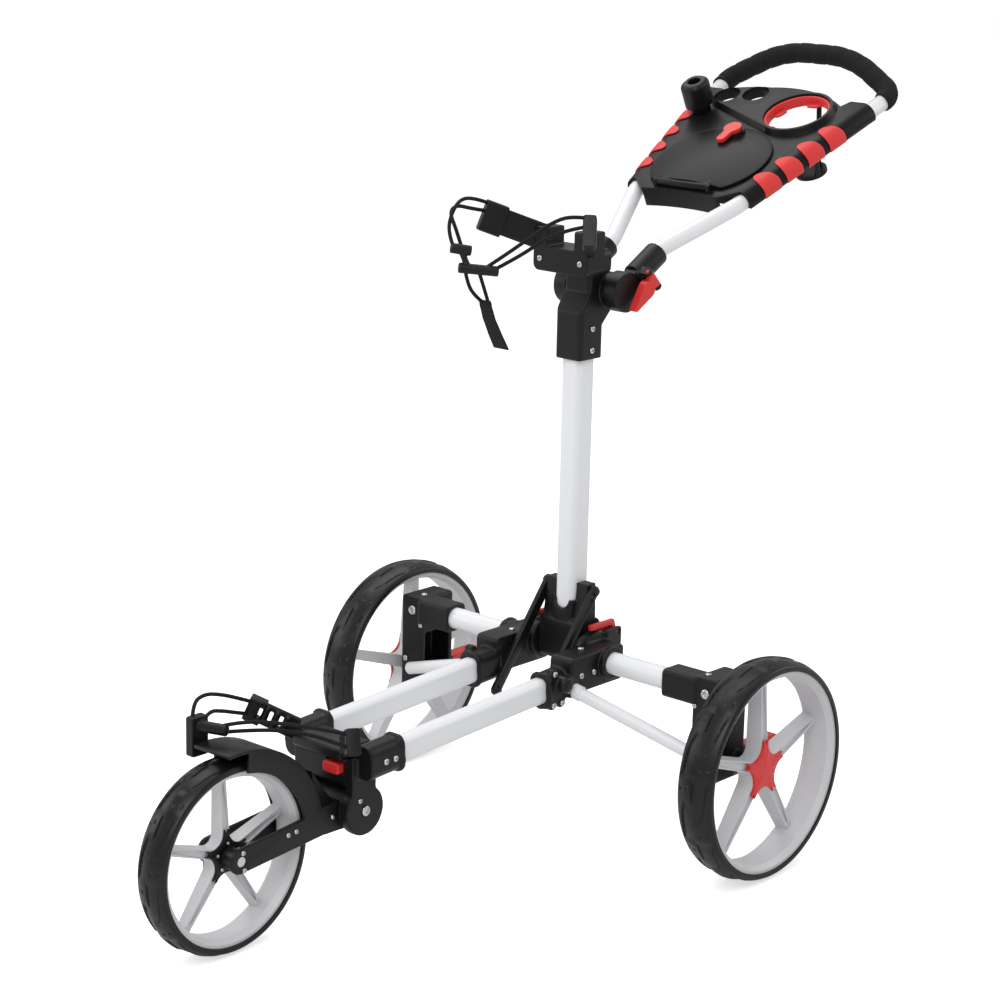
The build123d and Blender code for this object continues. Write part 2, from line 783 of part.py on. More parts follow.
# Front bracket with the lower bag cradle
with BuildPart() as front_bracket:
    add(rail_bar(rail_x, rail_sleeve_width, rail_sleeve_height, rail_sleeve_corner,
                 front_sleeve_rear_y, front_sleeve_front_y))
    add(rail_bar(rail_x + socket_lip / 2, rail_sleeve_width + socket_lip,
            rail_sleeve_height + 2 * socket_lip,
                 rail_sleeve_corner, front_sleeve_rear_y, front_sleeve_rear_y - socket_lip_length))
    add(rod((lobe_inner_x, fork_pivot_y, fork_pivot_z), (lobe_outer_x, fork_pivot_y, fork_pivot_z),
            lobe_radius))
    add(block((lobe_inner_x, lobe_outer_x), (front_block_front_y, front_block_rear_y),
              (fork_pivot_z, front_block_top_z)))
    add(rail_bar(rail_x, rail_width + 2 * seat, rail_height + 2 * seat, rail_corner + seat,
                 front_sleeve_rear_y + clearance, rail_front[0] - seat), mode=Mode.SUBTRACT)
    mirror(about=Plane.YZ)
    add(block((-lobe_outer_x, lobe_outer_x), (front_block_front_y, front_block_rear_y),
              (front_block_bottom_z, front_block_top_z), hub_corner, Axis.X))
    for side in (-1, 1):
        add(rail_bar(side * rail_x, rail_width + 2 * seat, rail_height + 2 * seat, rail_corner + seat,
                     front_sleeve_rear_y + clearance, rail_front[0] - seat), mode=Mode.SUBTRACT)
    add(rod((-wheel_x, fork_pivot_y, fork_pivot_z), (wheel_x, fork_pivot_y, fork_pivot_z),
            fork_pin_radius + seat), mode=Mode.SUBTRACT)
    add(block((release_x - release_width / 2 - release_gap, release_x + release_width / 2 + release_gap),
              (front_block_front_y - clearance, front_block_front_y + release_depth + release_travel),
              (release_z - release_height / 2 - release_gap, release_z + release_height / 2 + release_gap)),
        mode=Mode.SUBTRACT)
save(front_bracket, "front_bracket")

with BuildPart() as fork_pin:
    add(rod((-lobe_outer_x, fork_pivot_y, fork_pivot_z), (lobe_outer_x, fork_pivot_y, fork_pivot_z),
            fork_pin_radius))
save(fork_pin, "fork_pivot_pin")

with BuildPart() as front_release:
    add(block((release_x - release_width / 2, release_x + release_width / 2),
              (front_block_front_y - release_stick_out, front_block_front_y + release_depth),
              (release_z - release_height / 2, release_z + release_height / 2), release_height / 4, Axis.Y))
save(front_release, "front_release")

low_root = from_hinge(low_root_step)
low_tip = from_hinge(low_tip_step)
with BuildPart() as lower_cradle:
    add(block((-low_root[0], low_root[0]), (low_root[1] - low_arm_thickness, front_block_rear_y),
              (front_block_top_z + seat, low_base_top_z), low_base_corner, Axis.X))
    add(flat_bar(low_root, low_tip, low_arm_thickness, low_arm_height, low_arm_thickness / 3))
    add(flat_bar(beyond(low_root, low_tip, low_block_share), low_tip, low_block_width,
            low_arm_height + low_arm_rib,
                 low_arm_thickness / 3))
    mirror(about=Plane.YZ)
    for rib in range(rib_count):
        share = (rib + 1) / (rib_count + 2)
        for side in (-1, 1):
            start = beyond(low_root, low_tip, share)
            stop = beyond(low_root, low_tip, share + rib_share)
            add(flat_bar((side * start[0], start[1], start[2]), (side * stop[0], stop[1], stop[2]),
                         low_block_width, low_arm_height - low_arm_rib, low_arm_thickness / 3))
            window = beyond(low_root, low_tip, share + 1.5 * rib_share)
            end = beyond(low_root, low_tip, share + 2.5 * rib_share)
            add(flat_bar((side * window[0], window[1], window[2]), (side * end[0], end[1], end[2]),
                         2 * low_block_width, window_height, low_arm_thickness / 3), mode=Mode.SUBTRACT)
save(lower_cradle, "lower_cradle")

# Folding front fork with its wheel guard
guard_inner = front_tyre_radius + fender_gap
guard_outer = guard_inner + fender_thickness
with BuildPart() as fork:
    add(rod((-fork_barrel_half, fork_pivot_y, fork_pivot_z), (fork_barrel_half, fork_pivot_y, fork_pivot_z),
            fork_barrel_radius))
    add(block((-fork_half_width, fork_half_width), (fork_neck_front_y, fork_pivot_y),
              (fork_neck_bottom_z, fork_neck_top_z), fork_corner, Axis.X))
    add(side_plate(((fork_neck_front_y, fork_neck_bottom_z),
            (fork_pivot_y - fork_barrel_radius / 2, fork_pivot_z),
                    (fork_root_y, fork_neck_top_z), (fork_neck_front_y - fork_corner, saddle_top_z)),
                   -saddle_half, saddle_half))
    add(rod((-fork_half_width, front_axle_y, front_tyre_radius),
            (-front_back - cap_thickness - clearance, front_axle_y, front_tyre_radius), axle_boss_radius))
    add(rod((front_face + cap_thickness + clearance, front_axle_y, front_tyre_radius),
            (fork_half_width, front_axle_y, front_tyre_radius), axle_boss_radius))
    for arm_x in (-fork_half_width, fork_half_width - fork_arm_thickness):
        add(side_plate(((fork_root_y, fork_pivot_z + fork_arm_height / 3),
                        (fork_root_y, fork_pivot_z - fork_arm_height * 2 / 3),
                        (front_axle_y, front_tyre_radius - fork_arm_height / 2),
                        (front_axle_y, front_tyre_radius + fork_arm_height / 2)),
                       arm_x, arm_x + fork_arm_thickness))
        add(rod((arm_x, front_axle_y, front_tyre_radius),
                (arm_x + fork_arm_thickness, front_axle_y, front_tyre_radius), fork_arm_height / 2))
    with BuildSketch(Plane.YZ.offset(-fender_half_width)) as guard:
        with BuildLine(Plane.XY):
            inner_arc = CenterArc((front_axle_y, front_tyre_radius), guard_inner, fender_start,
                                  fender_end - fender_start)
            outer_arc = CenterArc((front_axle_y, front_tyre_radius), guard_outer, fender_start,
                                  fender_end - fender_start)
            Line(inner_arc @ 0, outer_arc @ 0)
            Line(inner_arc @ 1, outer_arc @ 1)
        make_face()
    extrude(amount=2 * fender_half_width)
    for flange_x in (-fender_half_width, fender_half_width - fender_thickness):
        with BuildSketch(Plane.YZ.offset(flange_x)):
            with BuildLine(Plane.XY):
                inner_arc = CenterArc((front_axle_y, front_tyre_radius), guard_inner - flange_depth,
                                      fender_start, flange_end - fender_start)
                outer_arc = CenterArc((front_axle_y, front_tyre_radius), guard_outer,
                                      fender_start, flange_end - fender_start)
                Line(inner_arc @ 0, outer_arc @ 0)
                Line(inner_arc @ 1, outer_arc @ 1)
            make_face()
        extrude(amount=fender_thickness)
    add(rod((-wheel_x, fork_pivot_y, fork_pivot_z), (wheel_x, fork_pivot_y, fork_pivot_z),
            fork_pin_radius + running), mode=Mode.SUBTRACT)
    add(rod((-wheel_x, front_axle_y, front_tyre_radius), (wheel_x, front_axle_y, front_tyre_radius),
            axle_radius + seat), mode=Mode.SUBTRACT)
save(fork, "front_fork")

with BuildPart() as front_axle:
    add(rod((-fork_half_width, front_axle_y, front_tyre_radius),
            (fork_half_width, front_axle_y, front_tyre_radius), axle_radius))
save(front_axle, "front_axle")

# Mast, its foot, its head and the links that brace it
with BuildPart() as mast:
    with BuildSketch(Plane.XY.offset(mast_bottom_z)):
        with Locations((0, mast_y)):
            RectangleRounded(mast_width, mast_depth, mast_corner)
            RectangleRounded(mast_width - 2 * tube_wall, mast_depth - 2 * tube_wall,
                    mast_corner - tube_wall,
                             mode=Mode.SUBTRACT)
    extrude(amount=mast_top_z - mast_bottom_z)
save(mast, "mast_tube")

with BuildPart() as mast_bore:
    with BuildSketch(Plane.XY.offset(mast_bottom_z - seat)):
        with Locations((0, mast_y)):
            RectangleRounded(mast_width + 2 * seat, mast_depth + 2 * seat, mast_corner + seat)
    extrude(amount=mast_top_z - mast_bottom_z + 2 * seat)

ear_outer_x = link_inner_x - clearance
with BuildPart() as collar:
    add(block((-foot_half_width, foot_half_width), (foot_front_y, foot_rear_y),
            (foot_bottom_z, collar_bottom_z),
              foot_corner, Axis.X))
    with BuildSketch(Plane.XY.offset(collar_bottom_z - foot_corner)):
        with Locations((0, mast_y)):
            RectangleRounded(mast_width + 2 * collar_wall, mast_depth + 2 * collar_wall,
                    mast_corner + collar_wall)
    extrude(amount=collar_top_z - collar_bottom_z + foot_corner)
    for side in (-1, 1):
        near = side * (mast_width / 2)
        add(side_plate(((mast_y - mast_depth / 2, collar_bottom_z - foot_corner),
                        (foot_rear_y - foot_corner, collar_bottom_z - foot_corner),
                        (link_pin_y + ear_half, link_pin_z), (link_pin_y + ear_half, ear_top_z),
                        (link_pin_y - ear_half, ear_top_z), (link_pin_y - ear_half, link_pin_z)),
                       min(near, side * ear_outer_x), max(near, side * ear_outer_x)))
    add(mast_bore.part, mode=Mode.SUBTRACT)
    add(rod((0, mast_y - mast_depth, collar_top_z), (0, mast_y - mast_depth / 2 + seat, collar_top_z),
            collar_dip_radius), mode=Mode.SUBTRACT)
    add(rod((-wheel_x, pivot_y, pivot_z), (wheel_x, pivot_y, pivot_z), pivot_radius + running),
        mode=Mode.SUBTRACT)
    add(rod((-wheel_x, link_pin_y, link_pin_z), (-mast_width / 2 - collar_wall, link_pin_y, link_pin_z),
            link_pin_radius + running), mode=Mode.SUBTRACT)
    add(rod((mast_width / 2 + collar_wall, link_pin_y, link_pin_z), (wheel_x, link_pin_y, link_pin_z),
            link_pin_radius + running), mode=Mode.SUBTRACT)
save(collar, "mast_collar")

head_half = mast_width / 2 + head_wall
head_front_y = mast_y - mast_depth / 2 - head_wall
head_rear_y = mast_y + mast_depth / 2 + head_wall
with BuildPart() as head:
    add(side_plate(((head_front_y, head_bottom_z), (head_rear_y, head_bottom_z), (head_rear_y, mast_top_z),
                    (hinge_y + head_barrel_radius * 0.7, hinge_z - head_barrel_radius * 0.7),
                    (hinge_y + head_barrel_radius * 0.4, head_top_z - head_barrel_radius * 0.2),
                    (hinge_y - head_barrel_radius * 0.6, head_top_z),
                    (head_front_y + head_step, head_top_z), (head_front_y + head_step, hinge_z),
                    (head_front_y, head_shoulder_z)), -head_half, head_half))
    fillet(head.edges().filter_by(Axis.Z), head_wall)
    add(rod((-head_barrel_half, hinge_y, hinge_z), (head_barrel_half, hinge_y, hinge_z),
            head_barrel_radius))
    add(mast_bore.part, mode=Mode.SUBTRACT)
    add(rod((-wheel_x, hinge_y, hinge_z), (wheel_x, hinge_y, hinge_z), hinge_pin_radius + running),
        mode=Mode.SUBTRACT)
save(head, "mast_head")

with BuildPart() as link:
    link_turn = Vector(0, link_low_y - link_pin_y, link_low_z - link_pin_z)
    with BuildSketch(Plane(origin=(link_inner_x, link_pin_y, link_pin_z), x_dir=link_turn,
            z_dir=(1, 0, 0))):
        with Locations((link_turn.length / 2, 0)):
            SlotCenterToCenter(link_turn.length, link_width)
    extrude(amount=link_thickness)
    with BuildSketch(Plane(origin=(link_inner_x + link_thickness, link_pin_y, link_pin_z),
                           x_dir=link_turn, z_dir=(-1, 0, 0))):
        with Locations((link_turn.length / 2, 0)):
            SlotCenterToCenter(link_turn.length - 2 * link_width, link_width - 2 * link_rim)
    extrude(amount=link_thickness / 3, mode=Mode.SUBTRACT)
    add(rod((mast_width / 2 + collar_wall + clearance, link_pin_y, link_pin_z),
            (link_inner_x + clearance, link_pin_y, link_pin_z), link_pin_radius))
    add(rod((link_inner_x + link_thickness / 2, link_pin_y, link_pin_z),
            (link_inner_x + link_thickness + link_head_height, link_pin_y, link_pin_z), link_head_radius))
    add(rod((link_inner_x - link_head_height, link_low_y, link_low_z),
            (link_inner_x + clearance, link_low_y, link_low_z), link_head_radius))
save_pair(link, "fold_link")

with BuildPart() as bail:
    add(rod((-bail_half_width, bail_pin_y, bail_pin_z), (bail_half_width, bail_pin_y, bail_pin_z),
            bail_barrel_radius))
    add(rod((-bail_half_width - bail_pin_length, bail_pin_y, bail_pin_z),
            (bail_half_width + bail_pin_length, bail_pin_y, bail_pin_z), bail_pin_radius))
    arm_low_z = pivot_z + cheek_radius + bail_arm_lift
    for arm_x in (-bail_half_width, bail_half_width - bail_arm_width):
        add(side_plate(((bail_front_y, arm_low_z), (bail_pin_y - bail_barrel_radius, arm_low_z),
                        (bail_pin_y - bail_barrel_radius * 0.7, bail_pin_z),
                        (bail_pin_y + bail_barrel_radius * 0.8, bail_pin_z),
                        (bail_pin_y, arm_low_z + bail_arm_height), (bail_front_y,
                                arm_low_z + bail_arm_height)),
                       arm_x, arm_x + bail_arm_width))
save(bail, "mast_release")

# Upper bag cradle
arm_run = Vector(*arm_tip) - Vector(*arm_root)
with BuildPart() as cradle:
    add(block((-cradle_half_width, cradle_half_width), (cradle_front_y, cradle_rear_y),
              (head_top_z + seat, cradle_top_z), cradle_corner, Axis.Y))
    for cheek_x in ((-cradle_half_width, -cradle_cheek_x), (cradle_cheek_x, cradle_half_width)):
        add(block(cheek_x, (cradle_front_y, cradle_cheek_rear_y),
                  (cradle_top_z - cradle_corner, cradle_cheek_top_z), cradle_corner / 3, Axis.X))
    for side in (-1, 1):
        add(flat_bar((side * arm_root[0], arm_root[1], arm_root[2]),
                (side * arm_tip[0], arm_tip[1], arm_tip[2]),
                     arm_thickness + 2 * seat, arm_height + 2 * seat, arm_thickness / 3), mode=Mode.SUBTRACT)
save(cradle, "upper_cradle")

with BuildPart() as arm:
    add(flat_bar(beyond(arm_root, arm_tip, seat / arm_run.length), arm_tip, arm_thickness, arm_height,
                 arm_thickness / 3))
    add(flat_bar(beyond(arm_root, arm_tip, arm_block_share), arm_tip, arm_block_width,
            arm_height + arm_block_rise,
                 arm_thickness / 2))
save_pair(arm, "upper_arm")

# Handle: two clamps on the mast head, one bent tube and a foam grip
def mirrored(points):
    """Right-hand points followed by their mirror images, in running order."""
    return list(points) + [(-x, y, z) for x, y, z in reversed(points)]


def bent_tube(points, radii, outer: float, inner: float) -> Part:
    """Tube along straight runs joined by arcs."""
    with BuildPart() as shape:
        with BuildLine() as path:
            FilletPolyline(*points, radius=list(radii))
        with BuildSketch(Plane(origin=path.line @ 0, z_dir=path.line % 0)):
            Circle(outer)
            Circle(inner, mode=Mode.SUBTRACT)
        sweep()
    return shape.part


handle_points = mirrored((handle_start, handle_bend, handle_flare, handle_corner, handle_back))
with BuildPart() as handle_tube:
    add(bent_tube(handle_points, bend_radii + bend_radii[::-1], tube_radius, tube_radius - tube_wall))
save(handle_tube, "handle_tube")

grip_start = beyond(handle_flare, handle_corner, grip_start_share)
with BuildPart() as grip:
    add(bent_tube(mirrored((grip_start, handle_corner, handle_back)), bend_radii[2:] + bend_radii[:1:-1],
                  grip_radius, tube_radius + seat))
save(grip, "handle_grip")

lever_run = Vector(0, lever_pivot[1] - lever_foot[1], lever_pivot[2] - lever_foot[2]).normalized()
lever_axis = Vector(1, 0, 0).cross(lever_run)
lever_plane = Plane(origin=lever_pivot, x_dir=(1, 0, 0), z_dir=lever_axis)


tube_seat = tuple(Vector(*handle_start) - (Vector(*handle_bend) - Vector(*handle_start)).normalized() * seat)


def make_clamp() -> Part:
    with BuildPart() as clamp:
        add(rod((clamp_inner_x, hinge_y, hinge_z), (clamp_outer_x, hinge_y, hinge_z), clamp_radius))
        middle_x = (clamp_inner_x + clamp_outer_x) / 2
        add(flat_bar((middle_x, hinge_y, hinge_z),
                     (middle_x, *beyond(clamp_socket_start, handle_start, clamp_web_share)[1:]),
                     clamp_outer_x - clamp_inner_x, clamp_web_height, clamp_web_corner))
        add(rod(clamp_socket_start, clamp_socket_end, clamp_socket_radius))
        add(rod((hinge_pin_inner_x, hinge_y, hinge_z), (clamp_inner_x + clearance, hinge_y, hinge_z),
                hinge_pin_radius))
        add(rod(tube_seat, handle_bend, tube_radius + seat), mode=Mode.SUBTRACT)
    return clamp.part


with BuildPart() as clamp_right:
    add(make_clamp())
    for side in (-1, 1):
        lug_step = side * (lever_width / 2 + clearance / 2 + lever_lug / 2)
        with BuildSketch(lever_plane.offset(lug_step - lever_lug / 2)):
            with Locations(((lever_lug_start_x - lever_pivot[0]) / 2, 0)):
                Rectangle(lever_pivot[0] - lever_lug_start_x, lever_thickness)
            Circle(lever_thickness / 2)
        extrude(amount=lever_lug)
    bridge_x = lever_pivot[0] - lever_thickness / 2 - clearance
    bridge_half = lever_width / 2 + clearance / 2 + lever_lug
    with BuildSketch(lever_plane.offset(-bridge_half)):
        with Locations(((lever_lug_start_x + bridge_x) / 2 - lever_pivot[0], 0)):
            Rectangle(bridge_x - lever_lug_start_x, lever_thickness)
    extrude(amount=2 * bridge_half)
    with BuildSketch(lever_plane.offset(-lever_width)):
        Circle(lever_pin_radius + running)
    extrude(amount=2 * lever_width, mode=Mode.SUBTRACT)
    add(rod(tube_seat, handle_bend, tube_radius + seat), mode=Mode.SUBTRACT)
save(clamp_right, "handle_clamp_right")

with BuildPart() as clamp_left:
    mirror(make_clamp(), about=Plane.YZ)
save(clamp_left, "handle_clamp_left")

with BuildPart() as lever:
    with BuildSketch(lever_plane.offset(-lever_width / 2)):
        Circle(lever_thickness / 2)
    extrude(amount=lever_width)
    with BuildSketch(lever_plane.offset(-lever_width / 2 - clearance / 2 - lever_lug)):
        Circle(lever_pin_radius)
    extrude(amount=lever_width + clearance + 2 * lever_lug)
    with BuildSketch(Plane(origin=(lever_pivot[0] - lever_thickness / 2, *lever_pivot[1:]),
                           x_dir=-lever_run, z_dir=(1, 0, 0))):
        reach = (Vector(*lever_pivot) - Vector(*lever_foot)).length
        with Locations((lever_head_step, 0)):
            Circle(lever_head_radius)
        with Locations((lever_belly_step, 0)):
            Circle(lever_belly_radius)
        with Locations((reach, 0)):
            Circle(lever_tip_radius)
        make_hull()
    extrude(amount=lever_thickness)
save(lever, "cam_lever")

# Console, drawn in the plane of the two handle tubes
slope = Vector(0, handle_corner[1] - handle_flare[1], handle_corner[2] - handle_flare[2])
console = Plane(origin=(0, handle_flare[1], handle_flare[2]), x_dir=(1, 0, 0),
                z_dir=Vector(1, 0, 0).cross(slope))


def tube_u(v: float) -> float:
    """Distance of the handle tube's axis from the middle at height v on the console."""
    return handle_flare[0] + (handle_corner[0] - handle_flare[0]) * v / slope.length


def spot(u: float, v: float, n: float):
    """Point of the console plane as x, y and z."""
    return tuple(console.from_local_coords((u, v, n)))


def lid_block(inset: float, low: float, high: float) -> Part:
    """Shield-shaped block of the lid's outline, drawn in by an inset."""
    with BuildPart() as shape:
        with BuildSketch(console.offset(low)) as outline:
            with BuildLine(Plane.XY):
                Line((-lid_front_half, lid_start_v), (lid_front_half, lid_start_v))
                ThreePointArc((lid_front_half, lid_start_v), (lid_middle_half, lid_middle_v),
                              (lid_back_half, lid_back_v))
                ThreePointArc((lid_back_half, lid_back_v), (0, lid_end_v), (-lid_back_half, lid_back_v))
                ThreePointArc((-lid_back_half, lid_back_v), (-lid_middle_half, lid_middle_v),
                              (-lid_front_half, lid_start_v))
            make_face()
            fillet(outline.vertices(), lid_corner)
            if inset:
                offset(amount=-inset)
        extrude(amount=high - low)
    return shape.part


def dome(radius: float) -> Part:
    """Ball whose top is the crown of the lid."""
    with BuildPart() as shape:
        with Locations(spot(0, lid_middle_v, lid_low_n + lid_rise - dome_ball_radius)):
            Sphere(radius)
    return shape.part


plate_top_n = console_sleeve_radius
pod_top_n = plate_top_n + pod_height
lid_low_n = plate_top_n + lid_gap
lid_top_n = lid_low_n + lid_rise
lid_barrel_n = plate_top_n + lid_barrel_lift
start_u = tube_u(sleeve_start_v)
end_u = tube_u(sleeve_end_v)
right_side = ((tray_front_half, tray_front_v), (start_u, sleeve_start_v), (end_u, sleeve_end_v),
              (end_u - shoulder_width, sleeve_end_v), (end_u - notch_width, notch_v))
left_side = [(-u, v) for u, v in right_side]
front_middle = (0, tray_front_v + front_hollow)
rib_angles = [90 + step * 360 / basket_rib_count for step in range(basket_rib_count)]
with BuildPart() as tray:
    with BuildSketch(console.offset(plate_low_n)):
        with BuildLine(Plane.XY):
            ThreePointArc(left_side[0], front_middle, right_side[0])
            Polyline(*right_side)
            ThreePointArc(right_side[-1], (0, back_middle_v), left_side[-1])
            Polyline(*left_side)
        make_face()
    extrude(amount=plate_top_n - plate_low_n)
    with BuildSketch(console.offset(plate_top_n)):
        with Locations((cup_u, cup_v)):
            Circle(cup_radius + cup_collar)
        with Locations(*ball_places):
            Circle(ball_radius + ball_collar)
        make_hull()
    extrude(amount=pod_height, taper=pod_lean)
    with BuildSketch(console.offset(skirt_low_n)):
        with BuildLine(Plane.XY):
            lip = ThreePointArc(left_side[0], front_middle, right_side[0])
            rear = ThreePointArc((-tray_front_half, tray_front_v + skirt_thickness),
                                 (0, front_middle[1] + skirt_thickness),
                                 (tray_front_half, tray_front_v + skirt_thickness))
            Line(lip @ 0, rear @ 0)
            Line(lip @ 1, rear @ 1)
        make_face()
    extrude(amount=plate_low_n - skirt_low_n)
    for side in (-1, 1):
        add(rod(spot(side * start_u, sleeve_start_v, 0), spot(side * end_u, sleeve_end_v, 0),
                console_sleeve_radius))
    with BuildSketch(console.offset(-console_sleeve_radius - clearance)):
        for side in (-1, 1):
            with BuildLine(Plane.XY):
                strip = console_sleeve_radius + clearance
                Polyline((side * start_u - strip, sleeve_start_v - strip),
                         (side * start_u + strip, sleeve_start_v - strip),
                         (side * end_u + strip, sleeve_end_v + strip),
                         (side * end_u - strip, sleeve_end_v + strip), close=True)
            make_face()
    extrude(amount=console_sleeve_radius + clearance + sleeve_open_n, mode=Mode.SUBTRACT)
    add(lid_block(store_margin - store_wall, store_low_n - store_floor, plate_low_n + clearance))
    add(lid_block(store_margin, store_low_n, plate_top_n + clearance), mode=Mode.SUBTRACT)
    with BuildSketch(console.offset(plate_low_n - clearance)):
        with Locations((cup_u, cup_v)):
            Circle(cup_radius)
        with Locations(*ball_places):
            Circle(ball_radius)
    extrude(amount=pod_top_n, mode=Mode.SUBTRACT)
    with BuildSketch(console.offset(basket_floor_n)):
        with Locations((cup_u, cup_v)):
            Circle(basket_floor_radius)
    extrude(amount=basket_floor_thickness)
    for angle in rib_angles:
        c = cos(radians(angle))
        s = sin(radians(angle))
        top = cup_radius + 1.5 * basket_rib_radius
        low = basket_floor_radius - basket_rib_radius
        add(rod(spot(cup_u + top * c, cup_v + top * s, plate_low_n + store_wall),
                spot(cup_u + low * c, cup_v + low * s, basket_floor_n + basket_floor_thickness / 2),
                basket_rib_radius))
    for side in (-1, 1):
        ear_u = side * (lid_barrel_half + clearance / 2 + lid_ear / 2)
        with BuildSketch(Plane(origin=spot(ear_u - lid_ear / 2, lid_barrel_v, lid_barrel_n),
                               x_dir=slope, z_dir=(1, 0, 0))):
            Circle(lid_barrel_radius)
            with Locations((0, -(lid_barrel_lift + clearance) / 2)):
                Rectangle(2 * lid_barrel_radius, lid_barrel_lift + clearance)
            Circle(lid_pin_radius + running, mode=Mode.SUBTRACT)
        extrude(amount=lid_ear)
    with BuildSketch(console.offset(plate_top_n - umbrella_pin_length - clearance)):
        with Locations((umbrella_u, umbrella_v)):
            Circle(umbrella_pin_radius + running)
    extrude(amount=plate_top_n, mode=Mode.SUBTRACT)
    for side in (-1, 1):
        add(rod((side * handle_flare[0], *handle_flare[1:]), (side * handle_corner[0], *handle_corner[1:]),
                tube_radius + seat), mode=Mode.SUBTRACT)
save(tray, "console_tray")

with BuildPart() as hollow:
    add(lid_block(lid_wall, lid_low_n - clearance, lid_top_n))
    add(dome(dome_ball_radius - lid_wall), mode=Mode.INTERSECT)
with BuildPart() as lid:
    add(lid_block(0, lid_low_n, lid_top_n + clearance))
    add(dome(dome_ball_radius), mode=Mode.INTERSECT)
    add(hollow.part, mode=Mode.SUBTRACT)
    add(rod(spot(0, latch_v, lid_top_n - latch_boss_drop), spot(0, latch_v, lid_top_n), latch_boss_radius))
    with BuildSketch(Plane(origin=spot(-lid_barrel_half, lid_barrel_v, lid_barrel_n), x_dir=slope,
                           z_dir=(1, 0, 0))):
        Circle(lid_barrel_radius)
        with Locations(((lid_start_v - lid_barrel_v + lid_wall) / 2, 0)):
            Rectangle(lid_start_v - lid_barrel_v + lid_wall, lid_barrel_radius)
    extrude(amount=2 * lid_barrel_half)
    add(rod(spot(-lid_barrel_half - lid_pin_length, lid_barrel_v, lid_barrel_n),
            spot(lid_barrel_half + lid_pin_length, lid_barrel_v, lid_barrel_n), lid_pin_radius))
    add(rod(spot(0, latch_v, lid_top_n - latch_stem_length - clearance),
            spot(0, latch_v, lid_top_n + clearance),
            latch_stem_radius + running), mode=Mode.SUBTRACT)
save(lid, "console_lid")

with BuildPart() as latch:
    add(rod(spot(0, latch_v, lid_top_n + lid_gap), spot(0, latch_v, lid_top_n + lid_gap + latch_height),
            latch_radius))
    with BuildSketch(console.offset(lid_top_n + lid_gap)):
        with Locations(Location((0, latch_v - latch_tail / 2), 90)):
            SlotOverall(latch_tail, latch_tail_width)
    extrude(amount=latch_height)
    add(rod(spot(0, latch_v, lid_top_n - latch_stem_length), spot(0, latch_v, lid_top_n + clearance),
            latch_stem_radius))
save(latch, "lid_latch")

ring_top_n = pod_top_n - cup_ring_sink
ring_low_n = ring_top_n - cup_ring_depth
with BuildPart() as cup_ring:
    add(rod(spot(cup_u, cup_v, ring_low_n), spot(cup_u, cup_v, ring_top_n), cup_radius - seat))
    add(rod(spot(cup_u, cup_v, ring_low_n - clearance), spot(cup_u, cup_v, ring_top_n + clearance),
            cup_radius - cup_ring_wall), mode=Mode.SUBTRACT)
save(cup_ring, "cup_ring")

tube_way = (Vector(*handle_corner) - Vector(*handle_flare)).normalized()


def make_insert(v: float) -> Part:
    """Rubber patch that wraps the outer side of a tube sleeve, round at its inner end."""
    inner = console_sleeve_radius + seat
    with BuildPart() as shape:
        with BuildSketch(Plane(origin=spot(tube_u(v), v, 0), x_dir=(1, 0, 0), z_dir=-tube_way)):
            with BuildLine():
                near = CenterArc((0, 0), inner, insert_low_angle, insert_span)
                far = CenterArc((0, 0), inner + insert_thickness, insert_low_angle, insert_span)
                Line(near @ 0, far @ 0)
                Line(near @ 1, far @ 1)
            make_face()
        extrude(amount=insert_length, both=True)
        with BuildSketch(console.offset(-2 * inner)):
            with Locations((tube_u(v) + insert_reach, v)):
                RectangleRounded(insert_width, insert_length, insert_corner)
        extrude(amount=4 * inner, mode=Mode.INTERSECT)
    return shape.part


with BuildPart() as inserts:
    for step in range(insert_count):
        add(make_insert(insert_first_v + step * insert_pitch))
    mirror(about=Plane.YZ)
save(inserts, "console_inserts")

umbrella_low_n = plate_top_n + lid_gap
umbrella_body_n = umbrella_low_n + umbrella_base_height - clearance
umbrella_top_n = umbrella_body_n + umbrella_height
with BuildPart() as umbrella:
    with BuildSketch(console.offset(umbrella_body_n)):
        with Locations((umbrella_u, umbrella_v)):
            RectangleRounded(umbrella_width, umbrella_length, umbrella_corner)
    extrude(amount=umbrella_height)
    top_face = umbrella.faces().sort_by(Axis(console.origin, console.z_dir))[-1]
    fillet(top_face.edges(), umbrella_shoulder)
    add(rod(spot(umbrella_u, umbrella_v, plate_top_n - umbrella_pin_length),
            spot(umbrella_u, umbrella_v, umbrella_low_n + clearance), umbrella_pin_radius))
    add(rod(spot(umbrella_u, umbrella_v, umbrella_low_n),
            spot(umbrella_u, umbrella_v, umbrella_body_n + clearance), umbrella_base_radius))
    add(rod(spot(umbrella_u, umbrella_v, umbrella_top_n - umbrella_bore_depth),
            spot(umbrella_u, umbrella_v, umbrella_top_n + clearance), umbrella_bore), mode=Mode.SUBTRACT)
save(umbrella, "umbrella_holder")


# Screws
def screw_group(places, radius: float = screw_radius):
    """Screw heads standing on flat faces: each place is a point and the way its head points."""
    heads = []
    for point, way in places:
        base = Vector(*point) + Vector(*way) * seat
        heads.append(rod(tuple(base), tuple(base + Vector(*way) * screw_height), radius))
    return heads


